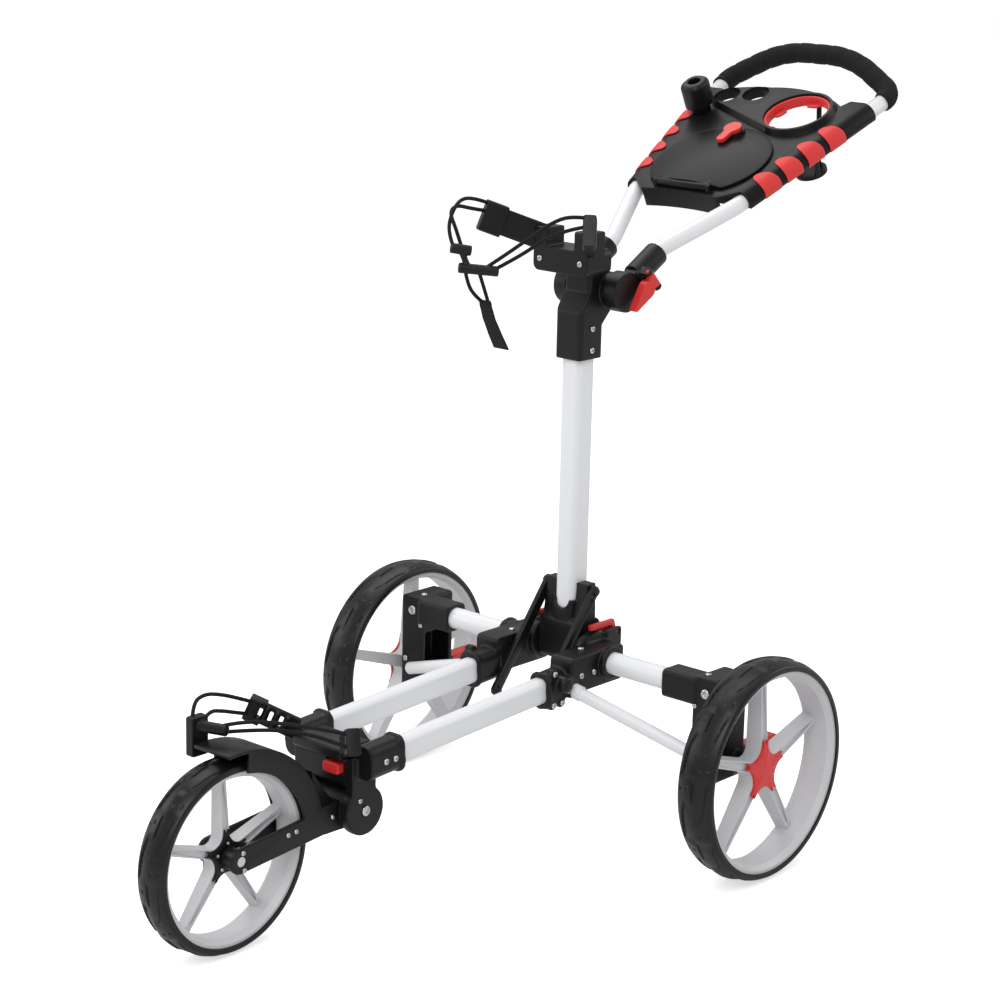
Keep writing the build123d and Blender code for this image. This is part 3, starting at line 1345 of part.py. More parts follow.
out_x = (1, 0, 0)
out_y = (0, -1, 0)
out_z = (0, 0, 1)
with BuildPart() as chassis_screws:
    for head_shape in screw_group((
            *(((hub_outer_x, y, z), out_x) for y, z in hub_screw_places),
            *(((sleeve_face_x, y, z), out_x) for y, z in hub_ear_places),
            ((rail_x, hub_screw_places[1][0], hub_top_z), out_z),
            ((sleeve_face_x, front_sleeve_rear_y - 4 * screw_radius, rail_front[1]), out_x),
            ((sleeve_face_x, front_sleeve_rear_y - 8 * screw_radius, rail_front[1]), out_x),
            ((bracket_outer_x - 2 * screw_radius, bracket_front_y, axle_z + 6 * screw_radius), out_y),
            ((bracket_inner_x + 3 * screw_radius, leg_y, bracket_top_z), out_z))):
        add(head_shape)
    for head_shape in screw_group((
            (((bracket_inner_x + bracket_outer_x) / 2, bracket_front_y, leg_z), out_y),
            ((lobe_outer_x, fork_pivot_y, fork_pivot_z), out_x)), big_screw_radius):
        add(head_shape)
    mirror(about=Plane.YZ)
save(chassis_screws, "chassis_screws")

with BuildPart() as mast_screws:
    for head_shape in screw_group((
            ((head_half, mast_y, head_bottom_z + 3 * screw_radius), out_x),
            ((head_half, mast_y, head_bottom_z + 10 * screw_radius), out_x),
            ((cradle_half_width - 3 * screw_radius, cradle_front_y,
                    cradle_top_z - 4 * screw_radius), out_y))):
        add(head_shape)
    mirror(about=Plane.YZ)
save(mast_screws, "mast_screws")


# Elastic bag straps with their fittings
def cord(points) -> Part:
    """Round cord along straight runs joined by arcs."""
    line = [Vector(*point) for point in points]
    radii = []
    for before, here, after in zip(line, line[1:], line[2:]):
        turn = radians((here - before).get_angle(after - here))
        shorter = min((here - before).length, (after - here).length)
        radii.append(0.45 * shorter / tan(turn / 2))
    print("cord bend radii in mm:", [round(radius, 1) for radius in radii])
    with BuildPart() as shape:
        with BuildLine() as path:
            FilletPolyline(*points, radius=radii)
        with BuildSketch(Plane(origin=path.line @ 0, z_dir=path.line % 0)):
            Circle(cord_radius)
        sweep()
    return shape.part


upper_left_routes = (
    ((-81, -93, 819), (-87, -117, 828), (-86, -145, 830), (-79, -169, 815), (-68, -187, 794),
            (-58, -187, 777)),
    ((-83, -96, 810), (-88, -122, 815), (-85, -154, 823), (-75, -177, 817), (-63, -177, 797),
            (-53, -178, 777)))
upper_right_routes = (
    ((81, -93, 819), (73, -114, 823), (50, -121, 816), (15, -128, 791), (-15, -142, 766), (-31, -163, 749)),
    ((83, -96, 810), (66, -116, 806), (30, -119, 789), (-3, -131, 764), (-23, -154, 748)),
    ((-45, -179, 748), (-45, -174, 731), (-44, -163, 716), (-43, -149, 706)),
    ((-34, -167, 749), (-34, -157, 728), (-33, -148.5, 706)))
# y of the lower routes is measured from the fork hinge
lower_left_routes = (
    ((-83, -57, 255), (-79, -86, 268), (-71, -121, 283), (-60, -157, 295), (-50, -185, 293),
     (-43, -192, 272)),
    ((-88, -60.6, 240), (-80, -88, 250), (-70, -118, 262), (-58, -154, 274), (-44, -178, 266)))
lower_right_routes = (
    ((83, -57, 255), (70, -88, 266), (45, -121, 275), (10, -159, 280), (-12, -177, 272)),
    ((88, -60.6, 240), (78, -80, 250), (56, -99, 260), (22, -138, 268), (-8, -175, 265.5)))
for name, routes in (("upper_cords_left", upper_left_routes), ("upper_cords_right", upper_right_routes),
                     ("lower_cords_left", lower_left_routes), ("lower_cords_right", lower_right_routes)):
    lower = name.startswith("lower")
    with BuildPart() as cords:
        for route in routes:
            add(cord([from_hinge(point) for point in route] if lower else route))
    save(cords, name)

with BuildPart() as slider:
    add(rod(lock_start, lock_end, lock_radius))
    add(rod(toggle_start, toggle_end, toggle_radius))
    add(rod(beyond(lock_start, lock_end, 0.5), beyond(toggle_start, toggle_end, 0.25), lock_neck_radius))
save(slider, "strap_slider")

with BuildPart() as pull_tab:
    with BuildSketch(Plane.YZ.offset(tab_x[0])):
        with BuildLine():
            ribbon = Polyline(*tab_route)
        trace(ribbon, line_width=tab_thickness)
    extrude(amount=tab_x[1] - tab_x[0])
save(pull_tab, "pull_tab")

with BuildPart() as buckle:
    add(block(buckle_x, [step + fork_pivot_y for step in buckle_y_step], buckle_z, buckle_corner, Axis.X))
    add(rod(from_hinge(hook_start_step), from_hinge(hook_end_step), hook_radius))
save(buckle, "strap_buckle")
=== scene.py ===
"""Looks of a three-wheeled folding golf push cart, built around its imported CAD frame.

The frame is in metres, with +Z up and the front wheel towards -Y. Shapes are described in millimetres from
the rear axle line; cord sizes, the roundings of CAD edges and the stage are in metres.
"""

import json
import logging
import math
from dataclasses import dataclass
from enum import Enum
from typing import Dict, List, Optional, Sequence, Set, Tuple, Union

import bmesh
import bpy
from bmesh.types import BMEdge, BMesh, BMVert
from bpy.types import ID, Material, Node, NodeSocket, NodeTree, Object
from mathutils import Matrix, Vector, kdtree
from mathutils.bvhtree import BVHTree
from mathutils.geometry import interpolate_bezier

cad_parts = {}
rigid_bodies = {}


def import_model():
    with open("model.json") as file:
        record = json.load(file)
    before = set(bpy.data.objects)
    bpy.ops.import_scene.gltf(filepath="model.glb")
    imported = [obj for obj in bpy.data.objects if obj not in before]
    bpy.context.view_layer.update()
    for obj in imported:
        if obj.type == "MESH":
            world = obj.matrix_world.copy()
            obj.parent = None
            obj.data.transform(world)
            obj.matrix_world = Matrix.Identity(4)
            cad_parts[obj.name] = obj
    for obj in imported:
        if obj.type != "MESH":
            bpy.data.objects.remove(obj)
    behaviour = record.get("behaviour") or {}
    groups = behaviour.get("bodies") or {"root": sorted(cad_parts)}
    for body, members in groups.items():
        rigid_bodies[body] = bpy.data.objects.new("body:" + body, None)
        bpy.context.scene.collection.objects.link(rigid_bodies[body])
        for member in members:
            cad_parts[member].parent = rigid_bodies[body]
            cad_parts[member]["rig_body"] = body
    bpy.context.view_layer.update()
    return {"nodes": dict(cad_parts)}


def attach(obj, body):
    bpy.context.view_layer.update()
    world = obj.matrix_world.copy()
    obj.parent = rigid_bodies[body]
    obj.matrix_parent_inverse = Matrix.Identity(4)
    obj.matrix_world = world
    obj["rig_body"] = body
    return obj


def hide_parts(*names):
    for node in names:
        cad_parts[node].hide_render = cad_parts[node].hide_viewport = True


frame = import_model()
log = logging.getLogger("push_cart")

Names = Tuple[str, ...]
Pair = Tuple[float, float]
Pairs = Tuple[Pair, ...]
Box = Tuple[Vector, Vector]
Point = Tuple[float, float, float]
Inputs = Dict[Union[str, int], Union[float, Tuple[float, ...], NodeSocket]]
MM = 0.001
AXLE_Y = 0.120
CAD_WELD = 2e-6     # points of a CAD mesh that are closer than this are one point
WELD = 1e-6         # the same for new meshes
STRAY = 0.45        # share of a rounding's width beyond which a point has left the surface
NARROWER = 0.6      # step by which a rounding shrinks where it has no room
LEAST_WIDTH = 0.00015
LEAST_CELL = 0.0007
HALF = 0.5          # half the side of the unit grids and cubes that pieces are shaped from
GRAIN_DETAIL, PATCH_DETAIL = 3.0, 5.0
NOISE_MIDDLE = 0.5  # noise value at which a patch changes nothing
X_AXIS, Z_AXIS = Vector((1.0, 0.0, 0.0)), Vector((0.0, 0.0, 1.0))


class Facing(Enum):
    """Ways that a small fitting can face."""

    RIGHT = (1.0, 0.0, 0.0)
    LEFT = (-1.0, 0.0, 0.0)
    FRONT = (0.0, -1.0, 0.0)
    UP = (0.0, 0.0, 1.0)


class Pattern(Enum):
    """Surface patterns that a finish can carry."""

    GRAIN = "grain"
    FOAM = "foam"
    WEAVE = "weave"


def place(x: float, y: float, z: float) -> Vector:
    """Point given in millimetres from the rear axle line, as a point of the cart's frame."""
    return Vector((x * MM, y * MM + AXLE_Y, z * MM))


@dataclass(frozen=True)
class ConsolePlane:
    """Slanting plane of the console, through the axes of both handle tubes."""

    flare: Point = (85.0, 199.0, 807.0)
    corner: Point = (139.0, 470.0, 940.0)

    def up(self) -> Vector:
        """Direction that climbs along the plane."""
        return Vector((0.0, self.corner[1] - self.flare[1], self.corner[2] - self.flare[2])).normalized()

    def out(self) -> Vector:
        """Direction that leaves the plane upwards."""
        return X_AXIS.cross(self.up())

    def spot(self, u: float, v: float, n: float) -> Vector:
        """Point at u across, v up the plane and n above it, all in millimetres."""
        return place(u, *self.flare[1:]) + (self.up() * v + self.out() * n) * MM

    def tube(self, v: float) -> float:
        """Distance of a handle tube's axis from the middle at height v."""
        run = math.hypot(self.corner[1] - self.flare[1], self.corner[2] - self.flare[2])
        return self.flare[0] + (self.corner[0] - self.flare[0]) * v / run


# Finishes


def wired(tree: NodeTree, node: Union[str, Node], inputs: Inputs,
          **traits: object) -> Node:
    """Fills the sockets of a shader node, which is added first where only its type is given.

    Args:
        tree: Node tree that holds the node.
        node: The node, or the type of a new one.
        inputs: For each socket, a value or the socket that feeds it.
        traits: Other properties of the node.

    Returns:
        The node.
    """
    made = tree.nodes.new(node) if isinstance(node, str) else node
    for trait, value in traits.items():
        setattr(made, trait, value)
    for label, value in inputs.items():
        if isinstance(value, NodeSocket):
            tree.links.new(value, made.inputs[label])
        else:
            made.inputs[label].default_value = value
    return made


def mottle_group() -> NodeTree:
    """Shader group for small changes of tone and gloss and a fine surface grain.

    Returns:
        The node group, made once and shared by every finish.
    """
    name = "mottle"
    found = bpy.data.node_groups.get(name)
    if found:
        return found
    tree = bpy.data.node_groups.new(name, "ShaderNodeTree")
    for way, labels in (
            ("INPUT", ("Colour", "Grain Scale", "Patch Scale", "Tone", "Roughness", "Gloss Spread")),
            ("OUTPUT", ("Colour", "Roughness", "Height"))):
        for label in labels:
            kind = "NodeSocketColor" if label == "Colour" else "NodeSocketFloat"
            tree.interface.new_socket(label, in_out=way, socket_type=kind)
    given = tree.nodes.new("NodeGroupInput").outputs
    where = tree.nodes.new("ShaderNodeTexCoord").outputs["Object"]
    grain, patch = [wired(tree, "ShaderNodeTexNoise", {"Vector": where, "Scale": given[size], "Detail": fine})
                    for size, fine in (("Grain Scale", GRAIN_DETAIL), ("Patch Scale", PATCH_DETAIL))]
    centred = wired(tree, "ShaderNodeMath", {0: patch.outputs["Fac"], 1: NOISE_MIDDLE}, operation="SUBTRACT")
    tone, gloss = [wired(tree, "ShaderNodeMath", {0: centred.outputs[0], 1: given[spread], 2: base},
                         operation="MULTIPLY_ADD")
                   for spread, base in (("Tone", 1.0), ("Gloss Spread", given["Roughness"]))]
    shade = wired(tree, "ShaderNodeVectorMath", {0: given["Colour"], "Scale": tone.outputs[0]},
                  operation="SCALE")
    wired(tree, "NodeGroupOutput", {"Colour": shade.outputs[0], "Roughness": gloss.outputs[0],
                                    "Height": grain.outputs["Fac"]})
    return tree


@dataclass(frozen=True)
class Finish:
    """One material of the cart: its colour, gloss and surface pattern."""

    name: str
    slot: str
    colour: Tuple[float, float, float]
    roughness: float
    grain: float
    patch: float
    tone: float
    gloss: float = 0.10
    bump: float = 0.08
    depth: float = 0.0002
    metallic: float = 0.0
    coat: float = 0.0
    coat_roughness: float = 0.12
    specular: float = 0.5
    distortion: float = 0.6
    pattern: Pattern = Pattern.GRAIN

    def material(self) -> Material:
        """Node material of this finish, made on first use.

        Returns:
            The material.
        """
        found = bpy.data.materials.get(self.name)
        if found:
            return found
        made = bpy.data.materials.new(self.name)
        made.use_nodes = True
        made.diffuse_color = (*self.colour, 1.0)
        tree = made.node_tree
        mottle = tree.nodes.new("ShaderNodeGroup")
        mottle.node_tree = mottle_group()
        wired(tree, mottle, {
            "Colour": (*self.colour, 1.0), "Grain Scale": self.grain, "Patch Scale": self.patch,
            "Tone": self.tone, "Roughness": self.roughness, "Gloss Spread": self.gloss})
        bump = wired(tree, "ShaderNodeBump", {"Strength": self.bump, "Distance": self.depth,
                                              "Height": self.height(tree, mottle)})
        wired(tree, tree.nodes["Principled BSDF"], {
            "Base Color": mottle.outputs["Colour"], "Roughness": mottle.outputs["Roughness"],
            "Normal": bump.outputs["Normal"], "Metallic": self.metallic, "Coat Weight": self.coat,
            "Coat Roughness": self.coat_roughness, "Specular IOR Level": self.specular})
        return made

    def height(self, tree: NodeTree, mottle: Node) -> NodeSocket:
        """Socket that carries the height of the surface pattern.

        Args:
            tree: Node tree of the material.
            mottle: The material's mottle group node.

        Returns:
            The height output to feed to the bump node.
        """
        if self.pattern is Pattern.GRAIN:
            return mottle.outputs["Height"]
        where = tree.nodes.new("ShaderNodeTexCoord")
        inputs: Inputs = {"Vector": where.outputs["Object"], "Scale": self.grain}
        if self.pattern is Pattern.FOAM:
            return wired(tree, "ShaderNodeTexVoronoi", inputs).outputs["Distance"]
        inputs["Distortion"] = self.distortion
        warp, weft = [wired(tree, "ShaderNodeTexWave", inputs, wave_type="BANDS", bands_direction=axis)
                      for axis in ("X", "Z")]
        return wired(tree, "ShaderNodeMath", {0: warp.outputs["Fac"], 1: weft.outputs["Fac"]},
                     operation="MULTIPLY").outputs[0]


WHITE_COAT = Finish("white_coat", "white_paint", (0.80, 0.81, 0.83), 0.34, grain=420.0, patch=9.0, tone=0.03,
                    gloss=0.08, coat=0.2)
# The rims' white plastic has a greyer colour (0.60) than the frame's white. It is partly the plastic's own
# colour and partly painted shade for the shadowed insides of the wheel barrels.
WHITE_RIM_PAINTED_SHADE = Finish("white_rim_moulding_painted_shade", "white_rim", (0.60, 0.60, 0.62), 0.38, grain=700.0, patch=12.0,
                   tone=0.04)
BLACK_MOULDING = Finish("black_moulding", "black_plastic", (0.0060, 0.0060, 0.0064), 0.40, grain=1900.0,
                        patch=26.0, tone=0.30, gloss=0.16, bump=0.22, specular=0.30)
BLACK_SATIN = Finish("black_satin_console", "black_plastic", (0.0070, 0.0070, 0.0075), 0.36, grain=2300.0,
                     patch=10.0, tone=0.20, bump=0.12, specular=0.17)
RED_MOULDING = Finish("red_moulding", "red_plastic", (0.66, 0.030, 0.028), 0.34, grain=900.0, patch=30.0,
                      tone=0.08, specular=0.4)
RED_RUBBER = Finish("red_soft_rubber", "red_rubber", (0.68, 0.040, 0.037), 0.50, grain=1800.0, patch=30.0,
                    tone=0.10, bump=0.20, specular=0.35)
TYRE_RUBBER = Finish("tyre_rubber", "tyre", (0.0055, 0.0055, 0.0058), 0.36, grain=900.0, patch=18.0,
                     tone=0.35, gloss=0.20, bump=0.10, depth=0.0003, specular=0.34)
GRIP_FOAM = Finish("grip_foam_wrap", "grip_foam", (0.013, 0.0125, 0.013), 0.80, grain=1300.0, patch=40.0,
                   tone=0.30, bump=0.5, depth=0.0004, specular=0.16, pattern=Pattern.FOAM)
STRAP_WEAVE = Finish("strap_weave", "strap", (0.008, 0.008, 0.008), 0.72, grain=520.0, patch=60.0, tone=0.30,
                     bump=0.6, depth=0.0004, specular=0.25, pattern=Pattern.WEAVE)
ZINC_STEEL = Finish("zinc_steel", "steel", (0.62, 0.62, 0.64), 0.28, grain=2200.0, patch=200.0, tone=0.10,
                    gloss=0.15, bump=0.05, depth=0.0001, metallic=1.0)


# Mesh helpers


def added(name: str, data: ID) -> Object:
    """Adds an object to the scene.

    Args:
        name: Name of the object.
        data: Mesh, curve, light or camera that it holds.

    Returns:
        The new object.
    """
    item = bpy.data.objects.new(name, data)
    bpy.context.scene.collection.objects.link(item)
    return item


def finished(node: str, bm: BMesh, finish: Finish, smooth_angle: float = 40.0,
             name: Optional[str] = None) -> None:
    """Turns a bmesh into a piece of the cart.

    Args:
        node: CAD node whose body the piece moves with, and which it stands for unless it has its own name.
        bm: The shape, in the frame of the cart. It is freed here.
        finish: Finish of the piece.
        smooth_angle: Edges sharper than this many degrees stay sharp.
        name: Name of a piece that is only added to the node.
    """
    title = name or node + "_piece"
    mesh = bpy.data.meshes.new(title)
    bm.to_mesh(mesh)
    bm.free()
    mesh.polygons.foreach_set("use_smooth", [True] * len(mesh.polygons))
    mesh.set_sharp_from_angle(angle=math.radians(smooth_angle))
    mesh.materials.append(finish.material())
    piece = added(title, mesh)
    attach(piece, frame["nodes"][node]["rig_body"])
    if not name:
        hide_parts(node)
    log.info("%s: %d faces", title, len(mesh.polygons))


def cad_copy(node: str) -> BMesh:
    """Copies a CAD node's shape and merges its doubled points.

    Args:
        node: Name of the CAD node.

    Returns:
        The copy.
    """
    bm = bmesh.new()
    bm.from_mesh(frame["nodes"][node].data)
    bmesh.ops.remove_doubles(bm, verts=bm.verts, dist=CAD_WELD)
    return bm


def sharp_edges(bm: BMesh, edge_angle: float) -> List[BMEdge]:
    """Edges whose two faces meet more sharply than this many degrees."""
    limit = math.radians(edge_angle)
    return [e for e in bm.edges if len(e.link_faces) == 2 and e.calc_face_angle(0.0) > limit]


def eased(bm: BMesh, edge_angle: float, width: float) -> None:
    """Rounds the sharp edges of a small shape.

    Args:
        bm: The shape.
        edge_angle: Edges sharper than this many degrees are rounded.
        width: Width of the rounding in millimetres.
    """
    bmesh.ops.bevel(bm, geom=sharp_edges(bm, edge_angle), offset=width * MM, segments=2, profile=0.5,
                    affect="EDGES", material=-1)


def connected(start: Sequence[BMVert]) -> Set[BMVert]:
    """Follows edges from point to point.

    Args:
        start: Points to start from.

    Returns:
        These points and all that edges join to them.
    """
    found, queue = set(start), list(start)
    while queue:
        for edge in queue.pop().link_edges:
            for vert in edge.verts:
                if vert not in found:
                    found.add(vert)
                    queue.append(vert)
    return found


def softened(node: str, finish: Finish, width: float = 0.0013, segments: int = 3,
             edge_angle: float = 32.0) -> None:
    """Copy of a CAD node with rounded edges, which stands for the node.

    Args:
        node: Name of the CAD node.
        finish: Finish of the piece.
        width: Width of the rounding, which shrinks until no edge lies off the CAD surface.
        segments: Steps across the rounding.
        edge_angle: Edges sharper than this many degrees are rounded.
    """
    while True:
        bm = cad_copy(node)
        skin = BVHTree.FromBMesh(bm)
        bmesh.ops.bevel(bm, geom=sharp_edges(bm, edge_angle), offset=width, offset_type="OFFSET",
                        segments=segments, profile=0.5, affect="EDGES", clamp_overlap=False, material=-1)
        for vert in bm.verts:
            near, _, _, gap = skin.find_nearest(vert.co)
            if gap > STRAY * width:
                vert.co = near
        middles = ((edge.verts[0].co + edge.verts[1].co) / 2 for edge in bm.edges)
        if width <= LEAST_WIDTH or all(skin.find_nearest(spot)[3] <= STRAY * width for spot in middles):
            break
        bm.free()
        width *= NARROWER
    finished(node, bm, finish, smooth_angle=50.0)


def moulded(node: str, finish: Finish, steps: float = 110.0, rounds: int = 9, pull: float = 0.5,
            keep: float = 0.35) -> None:
    """Copy of a CAD node with the soft edges of a moulding, which stands for the node.

    Args:
        node: Name of the CAD node.
        finish: Finish of the piece.
        steps: How many cells the longest side of the node is cut into.
        rounds: How often the cells are smoothed.
        pull: How strongly each round smooths.
        keep: Share of the faces that is kept at the end.
    """
    bm = cad_copy(node)
    mesh = bpy.data.meshes.new(node + "_cast")
    bm.to_mesh(mesh)
    bm.clear()
    holder = added(node + "_cast", mesh)
    cells = holder.modifiers.new("cells", "REMESH")
    cells.mode = "VOXEL"
    cells.voxel_size = max(LEAST_CELL, max(holder.dimensions) / steps)
    smooth = holder.modifiers.new("smooth", "SMOOTH")
    smooth.factor = pull
    smooth.iterations = rounds
    fewer = holder.modifiers.new("fewer", "DECIMATE")
    fewer.ratio = keep
    cast = bpy.data.meshes.new_from_object(holder.evaluated_get(bpy.context.evaluated_depsgraph_get()))
    bm.from_mesh(cast)
    bpy.data.objects.remove(holder)
    for spare in (mesh, cast):
        bpy.data.meshes.remove(spare)
    finished(node, bm, finish, smooth_angle=60.0)


def islands(node: str) -> List[Box]:
    """Boxes of the separate solids of a CAD node.

    Args:
        node: Name of the CAD node.

    Returns:
        Lowest and highest corner of each solid.
    """
    bm = cad_copy(node)
    left = set(bm.verts)
    boxes: List[Box] = []
    while left:
        found = connected([next(iter(left))])
        left -= found
        low, high = [Vector([pick(v.co[axis] for v in found) for axis in range(3)]) for pick in (min, max)]
        boxes.append((low, high))
    bm.free()
    return sorted(boxes, key=lambda box: tuple(round(c, 5) for c in box[0]))


def dressed(node: str, finish: Finish) -> None:
    """Gives its finish to a CAD node that keeps its own mesh."""
    for item in frame["nodes"][node].material_slots:
        item.material = finish.material()


# Straps


@dataclass
class Cord:
    """One strand of elastic cord between two fittings, its length and diameter in metres."""

    name: str
    body: str
    length: float
    route: Tuple[Point, ...]
    lay: str
    node: Optional[str] = None
    diameter: float = 0.0048

    def build(self) -> None:
        line = bpy.data.curves.new(self.name, "CURVE")
        line.dimensions = "3D"
        line.bevel_depth = self.diameter / 2
        line.bevel_resolution = 4
        line.resolution_u = 16
        line.use_fill_caps = True
        spline = line.splines.new("NURBS")
        points = [place(*point) for point in self.route]
        spline.points.add(len(points) - 1)
        for control, point in zip(spline.points, points):
            control.co = (*point, 1.0)
        spline.order_u = 3
        spline.use_endpoint_u = True
        line.materials.append(STRAP_WEAVE.material())
        strand = added(self.name, line)
        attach(strand, self.body)
        if self.node:
            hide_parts(self.node)
        log.info("%s: strand of %.3f m", self.name, self.length)


@dataclass
class Straps:
    """Elastic straps of the upper and the lower bag cradle."""

    strands: Tuple[Cord, ...] = (
        Cord("upper_left_outer_cord", "mast", 0.131, (
            (-81, -93, 819), (-87, -117, 828), (-86, -145, 830), (-79, -169, 815), (-68, -187, 794),
            (-58, -187, 777)), "hanging", "upper_cords_left"),
        Cord("upper_left_inner_cord", "mast", 0.128, (
            (-83, -96, 810), (-88, -122, 815), (-85, -154, 823), (-75, -177, 817), (-63, -177, 797),
            (-53, -178, 777)), "hanging"),
        Cord("upper_right_outer_cord", "mast", 0.162, (
            (81, -93, 819), (73, -114, 823), (50, -121, 816), (15, -128, 791), (-15, -142, 766),
            (-31, -163, 749)), "taut", "upper_cords_right"),
        Cord("upper_right_inner_cord", "mast", 0.142, (
            (83, -96, 810), (66, -116, 806), (30, -119, 789), (-3, -131, 764), (-23, -154, 748)), "taut"),
        Cord("tab_outer_cord", "mast", 0.053, (
            (-45, -179, 748), (-45, -174, 731), (-44, -163, 716), (-43, -149, 706)), "hanging"),
        Cord("tab_inner_cord", "mast", 0.047, (
            (-34, -167, 749), (-34, -157, 728), (-33, -148.5, 706)), "hanging"),
        Cord("lower_left_outer_cord", "chassis", 0.161, (
            (-83, -499, 255), (-79, -528, 268), (-71, -563, 283), (-60, -599, 295), (-50, -627, 293),
            (-43, -634, 272)), "hanging", "lower_cords_left"),
        Cord("lower_left_inner_cord", "chassis", 0.132, (
            (-88, -502.6, 240), (-80, -530, 250), (-70, -560, 262), (-58, -596, 274), (-44, -620, 266)),
            "hanging"),
        Cord("lower_right_outer_cord", "chassis", 0.1586, (
            (83, -499, 255), (70, -530, 266), (45, -563, 275), (10, -601, 280), (-12, -619, 272)),
            "taut", "lower_cords_right"),
        Cord("lower_right_inner_cord", "chassis", 0.1543, (
            (88, -502.6, 240), (78, -522, 250), (56, -541, 260), (22, -580, 268), (-8, -617, 265.5)),
            "taut"),
    )

    def build(self) -> None:
        """Makes every strand."""
        for strand in self.strands:
            strand.build()


# Tyres


@dataclass
class Tyre:
    """Solid tyre with a pattern of S-shaped lines and dimples pressed into both shoulders."""

    node: str
    centre: Point
    radius: float
    width: float
    units: int
    thickness: float = 13.0
    crown: float = 7.0
    shoulder: float = 4.5
    across: int = 72
    along: int = 480
    bend_steps: int = 8
    side_height: float = 1.0
    groove_half: float = 1.5
    groove_depth: float = 1.7
    far_side_shift: float = 0.5
    start: float = 0.06
    span: float = 0.74
    row: float = 0.58
    swing: float = 0.24
    curl: float = 0.09
    opening: float = 0.11
    taper: float = 0.8
    fade: float = 7.0
    dimples: Pairs = ((0.90, 0.30), (0.93, 0.72))
    dimple_half: float = 0.9

    def build(self) -> None:
        """Spins the section, presses the pattern in and sets the tyre on its rim."""
        bm = bmesh.new()
        corners = [bm.verts.new((x * MM, 0.0, z * MM)) for x, z in self.section()]
        rim = [bm.edges.new(pair) for pair in zip(corners, corners[1:] + corners[:1])]
        bmesh.ops.spin(bm, geom=corners + rim, cent=(0, 0, 0), axis=(1, 0, 0), angle=math.tau,
                       steps=self.along, use_merge=True)
        bmesh.ops.remove_doubles(bm, verts=bm.verts, dist=WELD)
        bmesh.ops.recalc_face_normals(bm, faces=bm.faces)
        for vert in bm.verts:
            _, y, z = vert.co
            reach = math.hypot(y, z)
            if reach > (self.radius - self.thickness + self.side_height) * MM:
                drop = self.groove(vert.co.x / MM, math.atan2(y, z) / math.tau) * MM
                vert.co.y -= y / reach * drop
                vert.co.z -= z / reach * drop
        bmesh.ops.translate(bm, verts=bm.verts, vec=place(*self.centre))
        finished(self.node, bm, TYRE_RUBBER, smooth_angle=60.0)

    def section(self) -> List[Pair]:
        """Outline of the cut tyre: bore, sides, round shoulders and crowned tread.

        Returns:
            Points as pairs of distance from the middle plane and distance from the axle.
        """
        half = self.width / 2
        ball = (half ** 2 + self.crown ** 2) / (2 * self.crown)
        low = self.radius - ball
        bend_x = half - self.shoulder
        bend_z = low + math.sqrt((ball - self.shoulder) ** 2 - bend_x ** 2)
        lean = math.atan2(bend_x, bend_z - low)
        tread = [(ball * math.sin(lean * share), low + ball * math.cos(lean * share))
                 for share in (2 * step / self.across - 1 for step in range(self.across + 1))]
        turn = [(bend_x + self.shoulder * math.sin(a), bend_z + self.shoulder * math.cos(a))
                for a in (lean + (math.pi / 2 - lean) * step / self.bend_steps
                          for step in range(1, self.bend_steps + 1))]
        bore = self.radius - self.thickness
        right = turn + [(half, bore)]
        left = [(-x, z) for x, z in reversed(right)]
        return left + tread + right

    def groove(self, x: float, turn: float) -> float:
        """Depth of the pressed pattern at a point of the tread.

        Args:
            x: Distance from the middle plane.
            turn: Place around the wheel, as a share of a full turn.

        Returns:
            Depth below the smooth tread.
        """
        side = 1.0 if x >= 0 else -1.0
        level = abs(x) / (self.width / 2)
        phase = (turn * self.units * side + (0.0 if side > 0 else self.far_side_shift)) % 1.0
        depth = 0.0
        along = (phase - self.start) / self.span
        if 0.0 < along < 1.0:
            middle = (self.row - self.swing * math.cos(math.pi * along)
                      + self.curl * math.sin(math.tau * along))
            open_by = self.opening * math.sin(math.pi * along) ** self.taper
            fade = min(1.0, self.fade * min(along, 1.0 - along))
            for line in (middle - open_by, middle + open_by):
                depth = max(depth, fade * self.pressed((level - line) * self.width / 2))
        for spot, row in self.dimples:
            step = (phase - spot) * math.tau * self.radius / self.units
            gap = math.hypot(step, (level - row) * self.width / 2) - self.dimple_half
            depth = max(depth, self.pressed(gap))
        return depth

    def pressed(self, gap: float) -> float:
        """Depth at a distance outside a pressed line; well inside the line the tread lies at full depth."""
        share = min(1.0, abs(gap) / self.groove_half) if gap > -self.groove_half else 0.0
        return self.groove_depth * (1.0 - share * share) ** 2


# Hub caps


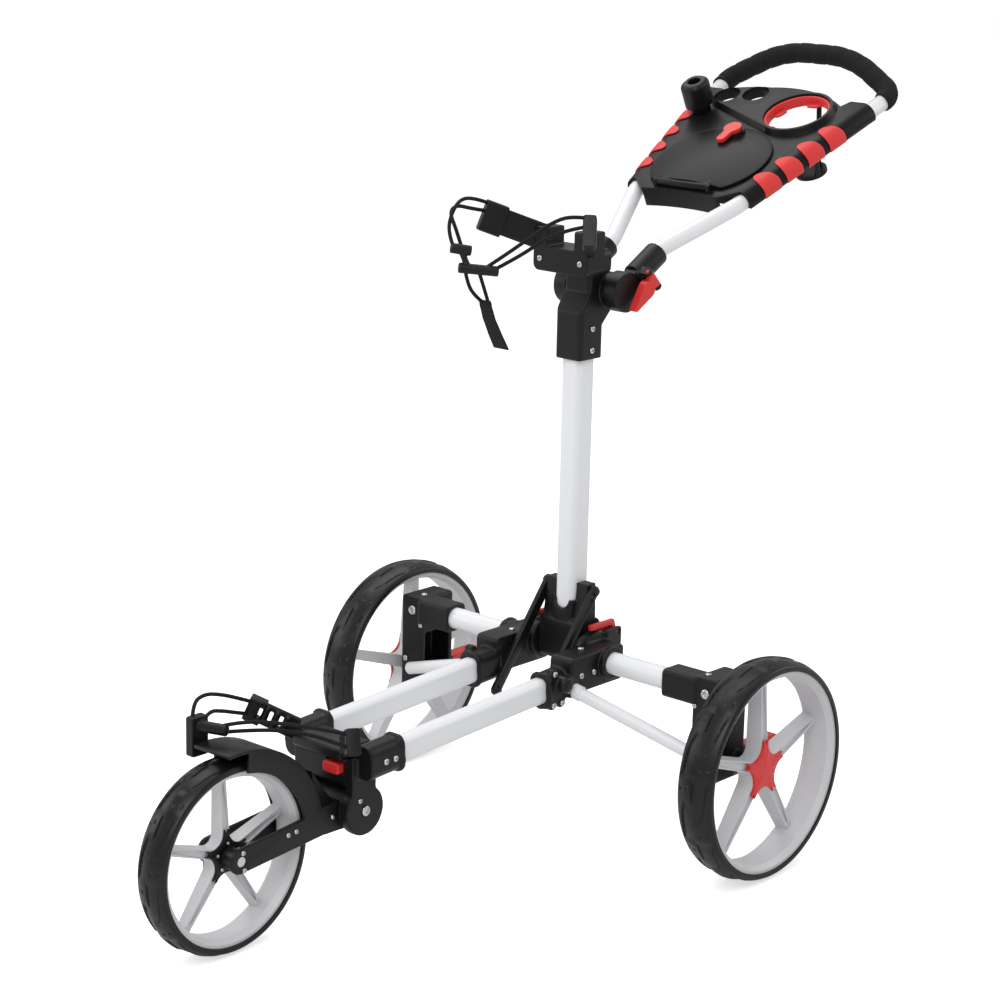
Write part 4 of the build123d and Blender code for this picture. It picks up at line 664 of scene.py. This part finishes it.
@dataclass
class StarCap:
    """Five-armed cap on a wheel hub, gently domed, with a small notch at each tip."""

    node: str
    axle: Pair
    radius: float
    finish: Finish
    arms: int = 5
    steps: int = 360
    sweep_place: float = 1.18
    sweep_radius: float = 0.59
    tip_half: float = 6.0
    notch_half: float = 3.8
    notch_depth: float = 0.13
    profile: Pairs = (
        (0.0, 0.0), (1.0, 0.0), (1.0, 0.50), (0.985, 0.60), (0.95, 0.66), (0.80, 0.76), (0.60, 0.87),
        (0.40, 0.95), (0.20, 0.99), (0.0, 1.0))

    def build(self) -> None:
        """Spins the cap's section and draws the round in to a star."""
        bm = bmesh.new()
        for low, high in islands(self.node):
            self.add_cap(bm, low.x, high.x)
        bmesh.ops.recalc_face_normals(bm, faces=bm.faces)
        finished(self.node, bm, self.finish, smooth_angle=38.0)

    def add_cap(self, bm: BMesh, low: float, high: float) -> None:
        """Adds one cap between two places along the axle.

        Args:
            bm: Shape that collects the caps.
            low: Lower end along the axle.
            high: Upper end along the axle.
        """
        seat, face = (low, high) if low + high > 0 else (high, low)
        line = [bm.verts.new((seat + (face - seat) * height, 0.0, self.radius * MM * share))
                for share, height in self.profile]
        edges = [bm.edges.new(pair) for pair in zip(line, line[1:])]
        bmesh.ops.spin(bm, geom=line + edges, cent=(0, 0, 0), axis=(1, 0, 0), angle=math.tau,
                       steps=self.steps, use_merge=True)
        made = connected(line)
        middle = place(0.0, *self.axle)
        for vert in made:
            share = self.star(math.atan2(vert.co.y, vert.co.z))
            vert.co = Vector((vert.co.x, vert.co.y * share + middle.y, vert.co.z * share + middle.z))
        bmesh.ops.remove_doubles(bm, verts=list(made), dist=WELD)

    def star(self, angle: float) -> float:
        """Reach of the star in a direction, as a share of its radius.

        Args:
            angle: Direction around the axle, from straight up.

        Returns:
            Share of the radius.
        """
        turn = 360.0 / self.arms
        away = abs((math.degrees(angle) + turn / 2) % turn - turn / 2)
        if away < self.notch_half:
            return 1.0 - self.notch_depth * math.sqrt(1.0 - (away / self.notch_half) ** 2)
        if away < self.tip_half:
            return 1.0
        lean = math.radians(turn / 2 - away)
        gap = self.sweep_radius ** 2 - (self.sweep_place * math.sin(lean)) ** 2
        return min(1.0, self.sweep_place * math.cos(lean) - math.sqrt(max(0.0, gap)))


# Grip


@dataclass
class Grip:
    """Foam tape wound around the handle's bow."""

    node: str = "handle_grip"
    start: Point = (134.95, 449.7, 930.0)
    corner: Point = (139.0, 470.0, 940.0)
    back: Point = (58.0, 490.0, 983.0)
    bends: Pair = (26.0, 150.0)
    length: float = 352.0
    radius: float = 14.0
    tube_radius: float = 11.1
    bare_end: float = 0.6
    end_round: float = 1.5
    end_drop: float = 0.8
    pitch: float = 27.0
    slant: float = 0.5
    wave: float = 0.06
    waves: float = 3.0
    lap: float = 0.9
    seam: float = 0.5
    seam_half: float = 0.8
    swell: float = 0.25
    rings: int = 460
    sides: int = 44
    weld: float = 1e-5
    tube: str = "handle_tube"
    core: float = 9.0
    cover: float = 6.0
    bend_points: int = 161

    def build(self) -> None:
        """Wraps a fine grid around the bow's line and fits the tube inside it."""
        line = self.line()
        self.fit_tube([middle for middle, _, _ in line])
        bm = bmesh.new()
        bmesh.ops.create_grid(bm, x_segments=self.rings, y_segments=self.sides, size=HALF)
        last = len(line) - 1
        for vert in bm.verts:
            share = vert.co.x + HALF
            turn = (vert.co.y + HALF) * math.tau
            middle, side, above = line[round(share * last)]
            reach = self.wrapped(share, turn) * MM
            vert.co = middle + (side * math.cos(turn) + above * math.sin(turn)) * reach
        bmesh.ops.remove_doubles(bm, verts=bm.verts, dist=self.weld)
        bmesh.ops.recalc_face_normals(bm, faces=bm.faces)
        finished(self.node, bm, GRIP_FOAM, smooth_angle=55.0)

    def fit_tube(self, line: List[Vector]) -> None:
        """Copy of the handle tube whose covered part follows the grip's line.

        Args:
            line: Middle line of the grip.
        """
        bm = cad_copy(self.tube)
        ends = int(len(line) * self.cover / self.length)
        track = kdtree.KDTree(len(line))
        for index, point in enumerate(line):
            track.insert(point, index)
        track.balance()
        for vert in bm.verts:
            near, index, gap = track.find(vert.co)
            if ends < index < len(line) - ends and gap > 0.0:
                vert.co = near + (vert.co - near) * (self.core * MM / gap)
        finished(self.tube, bm, WHITE_COAT)

    def wrapped(self, share: float, turn: float) -> float:
        """Radius of the wound tape: each turn laps over the last with a small step.

        Args:
            share: Place along the bow, from 0 to 1.
            turn: Angle around the bow.

        Returns:
            Radius in millimetres.
        """
        end = min(share, 1.0 - share) * self.length
        if end < self.bare_end:
            return self.tube_radius
        climb = self.slant * turn / math.tau + self.wave * math.sin(self.waves * turn)
        lap = (share * self.length / self.pitch + climb) % 1.0
        edge = self.lap * (1.0 - lap) ** 3
        seam = self.seam * math.exp(-(lap * self.pitch / self.seam_half) ** 2)
        swell = self.swell * math.sin(math.pi * lap)
        round_end = max(0.0, self.end_round - end) ** 2 * self.end_drop
        return self.radius - self.swell - edge - seam + swell - round_end

    def line(self) -> List[Tuple[Vector, Vector, Vector]]:
        """Middle line of the bow, with two directions across it at every point.

        Returns:
            Point, sideways direction and upward direction for each ring.
        """
        half = [place(*point) for point in (self.start, self.corner, self.back)]
        corners = half + [Vector((-p.x, p.y, p.z)) for p in reversed(half)]
        points = corners[:1]
        bends = self.bends + self.bends[::-1]
        for before, corner, after, bend in zip(corners, corners[1:], corners[2:], bends):
            back, on = (before - corner).normalized(), (after - corner).normalized()
            turn = math.pi - back.angle(on)
            reach, handle = bend * MM * math.tan(turn / 2), 4 / 3 * math.tan(turn / 4) * bend * MM
            first, last = corner + back * reach, corner + on * reach
            points += interpolate_bezier(first, first - back * handle, last - on * handle, last,
                                         self.bend_points)
        points = self.even(points + corners[-1:])
        framed: List[Tuple[Vector, Vector, Vector]] = []
        way = (points[1] - points[0]).normalized()
        side = way.cross(Z_AXIS).normalized()
        for index, point in enumerate(points):
            onward = (points[min(index + 1, len(points) - 1)] - points[max(index - 1, 0)]).normalized()
            side = (way.rotation_difference(onward) @ side).normalized()
            way = onward
            framed.append((point, side, way.cross(side).normalized()))
        return framed

    def even(self, points: List[Vector]) -> List[Vector]:
        """Points at even steps along a line.

        Args:
            points: Points of the line, at any spacing.

        Returns:
            One point for each ring.
        """
        reach = [0.0]
        for here, there in zip(points, points[1:]):
            reach.append(reach[-1] + (there - here).length)
        spaced: List[Vector] = []
        at = 0
        for step in range(self.rings + 1):
            goal = reach[-1] * step / self.rings
            while at < len(points) - 2 and reach[at + 1] < goal:
                at += 1
            share = (goal - reach[at]) / (reach[at + 1] - reach[at])
            spaced.append(points[at].lerp(points[at + 1], share))
        return spaced


# Pull tab


@dataclass
class PullTab:
    """Short piece of folded webbing at the end of the upper strap."""

    node: str = "pull_tab"
    sides: Pair = (-50.0, -26.0)
    route: Pairs = ((-149.0, 709.0), (-141.0, 685.0), (-129.0, 663.0), (-117.0, 644.0))
    rows: int = 90
    columns: int = 30
    thickness: float = 2.2
    fullness: float = 0.92
    waist: float = 0.10
    ripple: float = 0.35
    ripples: float = 6.0
    stitched: float = 0.18
    sway: float = 1.6
    sway_turn: float = 2.2
    edge: float = 0.6

    def build(self) -> None:
        """Lays a fine grid along the tab's fall and gives it its thickness."""
        bm = bmesh.new()
        bmesh.ops.create_grid(bm, x_segments=self.columns, y_segments=self.rows, size=HALF)
        middle, half = sum(self.sides) / 2, (self.sides[1] - self.sides[0]) / 2
        for vert in bm.verts:
            across, down = vert.co.x + HALF, vert.co.y + HALF
            y, z = self.fall(down)
            wide = half * (self.fullness - self.waist * math.cos(math.pi * down))
            puff = self.ripple * math.sin(math.tau * self.ripples * down) if down < self.stitched else 0.0
            sway = self.sway * math.sin(self.sway_turn * down)
            vert.co = place(middle + (2 * across - 1) * wide + sway, y + puff, z)
        bmesh.ops.recalc_face_normals(bm, faces=bm.faces)
        bmesh.ops.solidify(bm, geom=bm.faces, thickness=self.thickness * MM)
        eased(bm, edge_angle=50.0, width=self.edge)
        finished(self.node, bm, STRAP_WEAVE, smooth_angle=60.0)

    def fall(self, share: float) -> Pair:
        """Place of the tab's middle line.

        Args:
            share: Share of the tab's length, from its upper end.

        Returns:
            Place along y, and height.
        """
        runs = len(self.route) - 1
        at = min(int(share * runs), runs - 1)
        part = share * runs - at
        (y0, z0), (y1, z1) = self.route[at], self.route[at + 1]
        return y0 + (y1 - y0) * part, z0 + (z1 - z0) * part


# Small mouldings on the console


@dataclass
class CupTabs:
    """Soft tabs that reach from the cup ring towards the cup and steady it."""

    name: str = "cup_ring_tabs"
    plane: ConsolePlane = ConsolePlane()
    centre: Pair = (54.0, 200.0)
    level: float = 11.0
    thickness: float = 3.0
    root: float = 42.4
    tip: float = 33.0
    root_width: float = 26.0
    tip_width: float = 15.0
    count: int = 5
    first: float = 20.0
    corner: float = 3.0
    corner_steps: int = 4
    upright: float = 1.1
    edge: float = 0.6

    def build(self) -> None:
        """Makes one tapered, rounded tab for each place around the ring."""
        bm = bmesh.new()
        origin = self.plane.spot(*self.centre, self.level)
        flat = Matrix((X_AXIS, self.plane.up(), self.plane.out())).transposed().to_4x4()
        for step in range(self.count):
            turn = Matrix.Rotation(math.radians(self.first + 360.0 * step / self.count), 4, "Z")
            corners = bmesh.ops.create_cube(bm, size=1.0)["verts"]
            for vert in corners:
                share = vert.co.x + HALF
                width = self.tip_width + (self.root_width - self.tip_width) * share
                reach = self.tip + (self.root - self.tip) * share
                vert.co = Vector((reach, vert.co.y * width, vert.co.z * self.thickness)) * MM
            sides = list({edge for vert in corners for edge in vert.link_edges
                          if edge.calc_length() < self.upright * self.thickness * MM})
            bmesh.ops.transform(bm, matrix=Matrix.Translation(origin) @ flat @ turn, verts=corners)
            bmesh.ops.bevel(bm, geom=sides, offset=self.corner * MM, segments=self.corner_steps, profile=0.5,
                            affect="EDGES", material=-1)
        eased(bm, edge_angle=60.0, width=self.edge)
        bmesh.ops.recalc_face_normals(bm, faces=bm.faces)
        finished("cup_ring", bm, RED_RUBBER, name=self.name)


@dataclass
class Inserts:
    """Half-moon rubber patches that wrap over both tube sleeves of the console."""

    node: str = "console_inserts"
    plane: ConsolePlane = ConsolePlane()
    first: float = 50.0
    pitch: float = 41.0
    count: int = 4
    half: float = 15.0
    sleeve: float = 16.2
    height: float = 1.9
    low: float = -22.0
    flat: float = 8.0
    straight: float = 0.30
    taper: float = 0.97
    puff: float = 0.5
    edge: float = 0.5
    cells: Tuple[int, int] = (26, 20)

    def build(self) -> None:
        """Lays one fine grid for each patch and gives it its thickness."""
        bm = bmesh.new()
        across, along = self.cells
        for side in (-1.0, 1.0):
            for step in range(self.count):
                v = self.first + step * self.pitch
                grid = bmesh.ops.create_grid(bm, x_segments=across, y_segments=along, size=HALF)["verts"]
                for vert in grid:
                    vert.co = self.point(side, v, vert.co.x + HALF, 2 * vert.co.y)
                faces = list({face for vert in grid for face in vert.link_faces})
                bmesh.ops.recalc_face_normals(bm, faces=faces)
                if faces[0].normal.dot(self.plane.out()) + side * faces[0].normal.x < 0.0:
                    bmesh.ops.reverse_faces(bm, faces=faces)
                bmesh.ops.solidify(bm, geom=faces, thickness=self.height * MM)
        eased(bm, edge_angle=50.0, width=self.edge)
        bmesh.ops.recalc_face_normals(bm, faces=bm.faces)
        finished(self.node, bm, RED_RUBBER, smooth_angle=50.0)

    def point(self, side: float, v: float, share: float, along: float) -> Vector:
        """Point on the outer face of a patch.

        Args:
            side: 1 on the right sleeve, -1 on the left.
            v: Height of the patch's middle on the console's plane.
            share: Place across the patch, from the outer edge at 0 to the inner end at 1.
            along: Place along the sleeve, from -1 to 1.

        Returns:
            The point in the frame of the cart.
        """
        bow = max(0.0, (share - self.straight) / (1.0 - self.straight))
        place_v = v + along * self.half * math.sqrt(max(0.0, 1.0 - self.taper * bow * bow))
        reach = self.sleeve + self.height
        arc = math.radians(90.0 - self.low) * reach
        run = share * (arc + self.flat)
        puff = self.puff * (1.0 - along * along) * math.sin(math.pi * share)
        if run < arc:
            angle = math.radians(self.low) + run / reach
            across, level = (reach + puff) * math.cos(angle), (reach + puff) * math.sin(angle)
        else:
            across, level = arc - run, reach + puff
        return self.plane.spot(side * (self.plane.tube(place_v) + across), place_v, level)


# Fasteners


@dataclass(frozen=True)
class ScrewRow:
    """Small screws on one face of a node, placed by the two coordinates across the way they face."""

    name: str
    node: str
    facing: Facing
    radius: float
    spots: Pairs


@dataclass
class Fasteners:
    """Screws with domed heads and hexagon sockets, where the CAD has plain heads and at smaller places."""

    groups: Names = ("chassis_screws", "mast_screws")
    segments: int = 20
    dome: Pairs = ((1.0, 0.0), (1.0, 0.35), (0.93, 0.68), (0.74, 0.93))
    socket_sides: int = 6
    socket: Pairs = ((0.48, 1.0), (0.44, 0.35))
    small_height: float = 2.0
    far: float = 1000.0
    squareness: float = 0.95
    small: Tuple[ScrewRow, ...] = (
        ScrewRow("fork_arm_screws", "front_fork", Facing.RIGHT, 3.2,
                 ((-622.6, 129.0), (-620.5, 107.0), (-551.0, 131.0), (-538.0, 132.0), (-478.0, 134.0))),
        ScrewRow("hub_cap_screws", "front_hub_cap", Facing.RIGHT, 2.2,
                 ((-625.0, 135.5), (-609.3, 124.1), (-615.3, 105.7), (-634.7, 105.7), (-640.7, 124.1))),
        ScrewRow("hinge_lobe_screws", "front_bracket", Facing.RIGHT, 3.2, ((-452.0, 152.0),)),
        ScrewRow("wheel_bracket_screws", "wheel_bracket_right", Facing.FRONT, 3.2, ((236.0, 219.0),)),
        ScrewRow("far_bracket_screws", "wheel_bracket_left", Facing.FRONT, 3.2, ((-236.0, 219.0),)),
    )

    def build(self) -> None:
        """Makes a domed head at every plain head, and the small screws."""
        for node in self.groups:
            bm = bmesh.new()
            for low, high in islands(node):
                self.add_head(bm, low, high)
            bmesh.ops.recalc_face_normals(bm, faces=bm.faces)
            finished(node, bm, ZINC_STEEL, smooth_angle=35.0)
        for row in self.small:
            self.build_row(row)

    def build_row(self, row: ScrewRow) -> None:
        """Makes small heads where lines along one direction meet a node's surface.

        Args:
            row: The screws to make.
        """
        bm = bmesh.new()
        bm.from_mesh(frame["nodes"][row.node].data)
        skin = BVHTree.FromBMesh(bm)
        bm.clear()
        way = Vector(row.facing.value)
        for spot in row.spots:
            values = list(spot)
            point = [way[axis] * self.far if way[axis] else values.pop(0) for axis in range(3)]
            hit, normal, _, _ = skin.ray_cast(place(*point), -way)
            if hit is None or normal.dot(way) < self.squareness:
                log.warning("%s: no flat face at %s", row.name, spot)
                continue
            middle = hit + way * self.small_height / 2 * MM
            size = Vector([(self.small_height / 2 if part else row.radius) * MM for part in way])
            self.add_head(bm, middle - size, middle + size)
        if bm.faces:
            bmesh.ops.recalc_face_normals(bm, faces=bm.faces)
            finished(row.node, bm, ZINC_STEEL, smooth_angle=35.0, name=row.name)

    def add_head(self, bm: BMesh, low: Vector, high: Vector) -> None:
        """Adds one domed head inside the box of a plain one.

        Args:
            bm: Shape that collects the heads.
            low: Lowest corner of the plain head.
            high: Highest corner of the plain head.
        """
        size, middle = high - low, (high + low) / 2
        axis = min(range(3), key=lambda index: size[index])
        outward = (Facing.RIGHT if middle.x > 0 else Facing.LEFT, Facing.FRONT, Facing.UP)[axis]
        way = Vector(outward.value)
        height, radius = size[axis], max(size) / 2
        base = middle - way * height / 2
        turn = way.to_track_quat("Z", "Y").to_matrix().to_4x4()
        loops: List[List[BMEdge]] = []
        for rings, sides in ((self.dome, self.segments), (self.socket, self.socket_sides)):
            for share, lift in rings:
                spot = Matrix.Translation(base + way * height * lift) @ turn
                made = bmesh.ops.create_circle(bm, segments=sides, radius=radius * share, matrix=spot)
                loops.append(list({edge for vert in made["verts"] for edge in vert.link_edges}))
        for lower, upper in zip(loops, loops[1:]):
            bmesh.ops.bridge_loops(bm, edges=lower + upper)
        bmesh.ops.holes_fill(bm, edges=loops[-1], sides=0)


# Hard pieces that keep the CAD shape


def both(*stems: str) -> Names:
    """Names of the left and the right node of each pair."""
    return tuple(stem + side for stem in stems for side in ("_left", "_right"))


@dataclass
class HardPieces:
    """Rigid nodes and the finish of each."""

    coated: Names = (*both("rail", "leg_tube", "strut"), "mast_tube")
    steel: Names = (*both("rear_axle"), "mast_pivot_pin", "fork_pivot_pin", "front_axle")
    cast: Names = (
        *both("hub_block", "wheel_bracket"), "front_bracket", "mast_collar", "mast_head", "upper_cradle",
        *both("handle_clamp"), "umbrella_holder", *both("upper_arm"), "strap_slider", "strap_buckle")
    black: Names = (*both("fold_link"), "front_fork", "lower_cradle")
    satin: Names = ("console_tray", "console_lid")
    red: Names = (*both("brake_pedal"), "front_release", "mast_release")
    red_cast: Names = ("cam_lever", "lid_latch")
    soft_red: Names = ("cup_ring",)
    rims: Names = (*both("rear_rim"), "front_rim")
    red_steps: float = 80.0
    red_width: float = 0.0018
    red_segments: int = 4

    def dress(self) -> None:
        """Rounds the edges of the moulded nodes and gives every node its finish."""
        for nodes, finish in ((self.coated, WHITE_COAT), (self.steel, ZINC_STEEL), (self.rims, WHITE_RIM_PAINTED_SHADE)):
            for node in nodes:
                dressed(node, finish)
        for node in self.cast:
            moulded(node, BLACK_MOULDING)
        for node in self.red_cast:
            moulded(node, RED_MOULDING, self.red_steps)
        for node in self.black:
            softened(node, BLACK_MOULDING)
        for node in self.red:
            softened(node, RED_MOULDING, self.red_width, self.red_segments)
        for node in self.soft_red:
            softened(node, RED_RUBBER)
        for node in self.satin:
            softened(node, BLACK_SATIN)


# Stage


@dataclass(frozen=True)
class Lamp:
    """Large soft lamp: its place and size in metres and its power in watts."""

    name: str
    spot: Point
    size: float
    power: float


@dataclass
class Stage:
    """Floor, light and camera."""

    eye: Point = (2132.7, -2573.2, 1293.2)
    aim: Point = (-0.5, -147.5, 478.8)
    roll: float = 1.316
    lens: float = 95.46
    sensor: float = 36.0
    shift: Pair = (-0.0043, -0.0155)
    sight: float = 100.0
    floor_half: float = 40.0
    floor_tone: float = 0.80
    floor_roughness: float = 0.9
    floor_glow: float = 0.62
    ambient: float = 0.50
    lamps: Tuple[Lamp, ...] = (
        Lamp("key", (1.4, -2.4, 3.0), size=2.4, power=62.0),
        Lamp("top", (-1.2, 0.6, 3.4), size=2.6, power=46.0),
        Lamp("side", (-2.8, -1.8, 1.6), size=2.0, power=24.0),
        Lamp("rear", (1.6, 2.8, 2.0), size=2.0, power=22.0))
    lit: Point = (0.0, 0.0, 0.45)

    def build(self) -> None:
        """Makes the floor, the light and the camera."""
        bpy.context.scene.view_settings.view_transform = "Standard"
        self.make_floor()
        self.make_world()
        self.make_lamps()
        self.make_camera()

    def make_floor(self) -> None:
        """Pale floor that keeps the cart's shadow."""
        bm = bmesh.new()
        bmesh.ops.create_grid(bm, x_segments=1, y_segments=1, size=self.floor_half)
        mesh = bpy.data.meshes.new("floor")
        bm.to_mesh(mesh)
        bm.free()
        made = bpy.data.materials.new("pale_floor")
        made.use_nodes = True
        tree = made.node_tree
        shader = tree.nodes["Principled BSDF"]
        wired(tree, shader, {"Base Color": (*[self.floor_tone] * 3, 1.0), "Roughness": self.floor_roughness,
                             "Specular IOR Level": 0.0})
        glow = wired(tree, "ShaderNodeEmission", {"Strength": self.floor_glow})
        bright = wired(tree, "ShaderNodeAddShader", {0: shader.outputs[0], 1: glow.outputs[0]})
        self.split(tree, "Material Output", shader.outputs[0], bright.outputs[0])
        mesh.materials.append(made)
        added("floor", mesh)

    def make_world(self) -> None:
        """White surroundings for the camera, softer light for the cart."""
        world = bpy.data.worlds.new("studio")
        bpy.context.scene.world = world
        world.use_nodes = True
        tree = world.node_tree
        base = tree.nodes["Background"]
        wired(tree, base, {"Color": (1.0, 1.0, 1.0, 1.0), "Strength": self.ambient})
        bright = wired(tree, "ShaderNodeBackground", {"Strength": 1.0})
        self.split(tree, "World Output", base.outputs[0], bright.outputs[0])

    @staticmethod
    def split(tree: NodeTree, output: str, light: NodeSocket, view: NodeSocket) -> None:
        """Sends one shader to the camera's own view and another to all other light.

        Args:
            tree: Node tree of the floor or the surroundings.
            output: Name of its output node.
            light: Shader for all other light.
            view: Shader for the camera's own view.
        """
        path = tree.nodes.new("ShaderNodeLightPath")
        mix = wired(tree, "ShaderNodeMixShader", {"Fac": path.outputs["Is Camera Ray"], 1: light, 2: view})
        wired(tree, tree.nodes[output], {"Surface": mix.outputs[0]})

    def make_lamps(self) -> None:
        """Lamps above, in front, behind and to the side, all turned to the cart."""
        for lamp in self.lamps:
            light = bpy.data.lights.new(lamp.name, "AREA")
            light.size = lamp.size
            light.energy = lamp.power
            item = added(lamp.name, light)
            item.location = lamp.spot
            item.rotation_mode = "QUATERNION"
            item.rotation_quaternion = (Vector(self.lit) - Vector(lamp.spot)).to_track_quat("-Z", "Y")

    def make_camera(self) -> None:
        """Camera at the photograph's place, with its small roll and shift."""
        eye, aim = place(*self.eye), place(*self.aim)
        back = (eye - aim).normalized()
        right = Z_AXIS.cross(back).normalized()
        up = back.cross(right)
        turn = math.radians(self.roll)
        across = right * math.cos(turn) + up * math.sin(turn)
        above = up * math.cos(turn) - right * math.sin(turn)
        lens = bpy.data.cameras.new("camera")
        lens.lens = self.lens
        lens.sensor_width = self.sensor
        lens.shift_x, lens.shift_y = self.shift
        lens.clip_end = self.sight
        item = added("camera", lens)
        item.matrix_world = Matrix((across, above, back)).transposed().to_4x4()
        item.location = eye
        bpy.context.scene.camera = item


def main() -> None:
    """Builds the stage and every piece of the cart in order."""
    logging.basicConfig(level=logging.INFO)
    Stage().build()
    Straps().build()
    Tyre("front_tyre", (0.0, -625.0, 119.0), radius=119.0, width=44.0, units=9).build()
    StarCap("front_hub_cap", (-625.0, 119.0), radius=33.0, finish=BLACK_MOULDING).build()
    for side, x in (("left", -308.0), ("right", 308.0)):
        Tyre("rear_tyre_" + side, (x, 0.0, 143.0), radius=143.0, width=52.0, units=10).build()
        StarCap("rear_hub_cap_" + side, (0.0, 143.0), radius=38.8, finish=RED_MOULDING).build()
    Grip().build()
    PullTab().build()
    CupTabs().build()
    Inserts().build()
    Fasteners().build()
    HardPieces().dress()


if __name__ == "__main__":
    main()
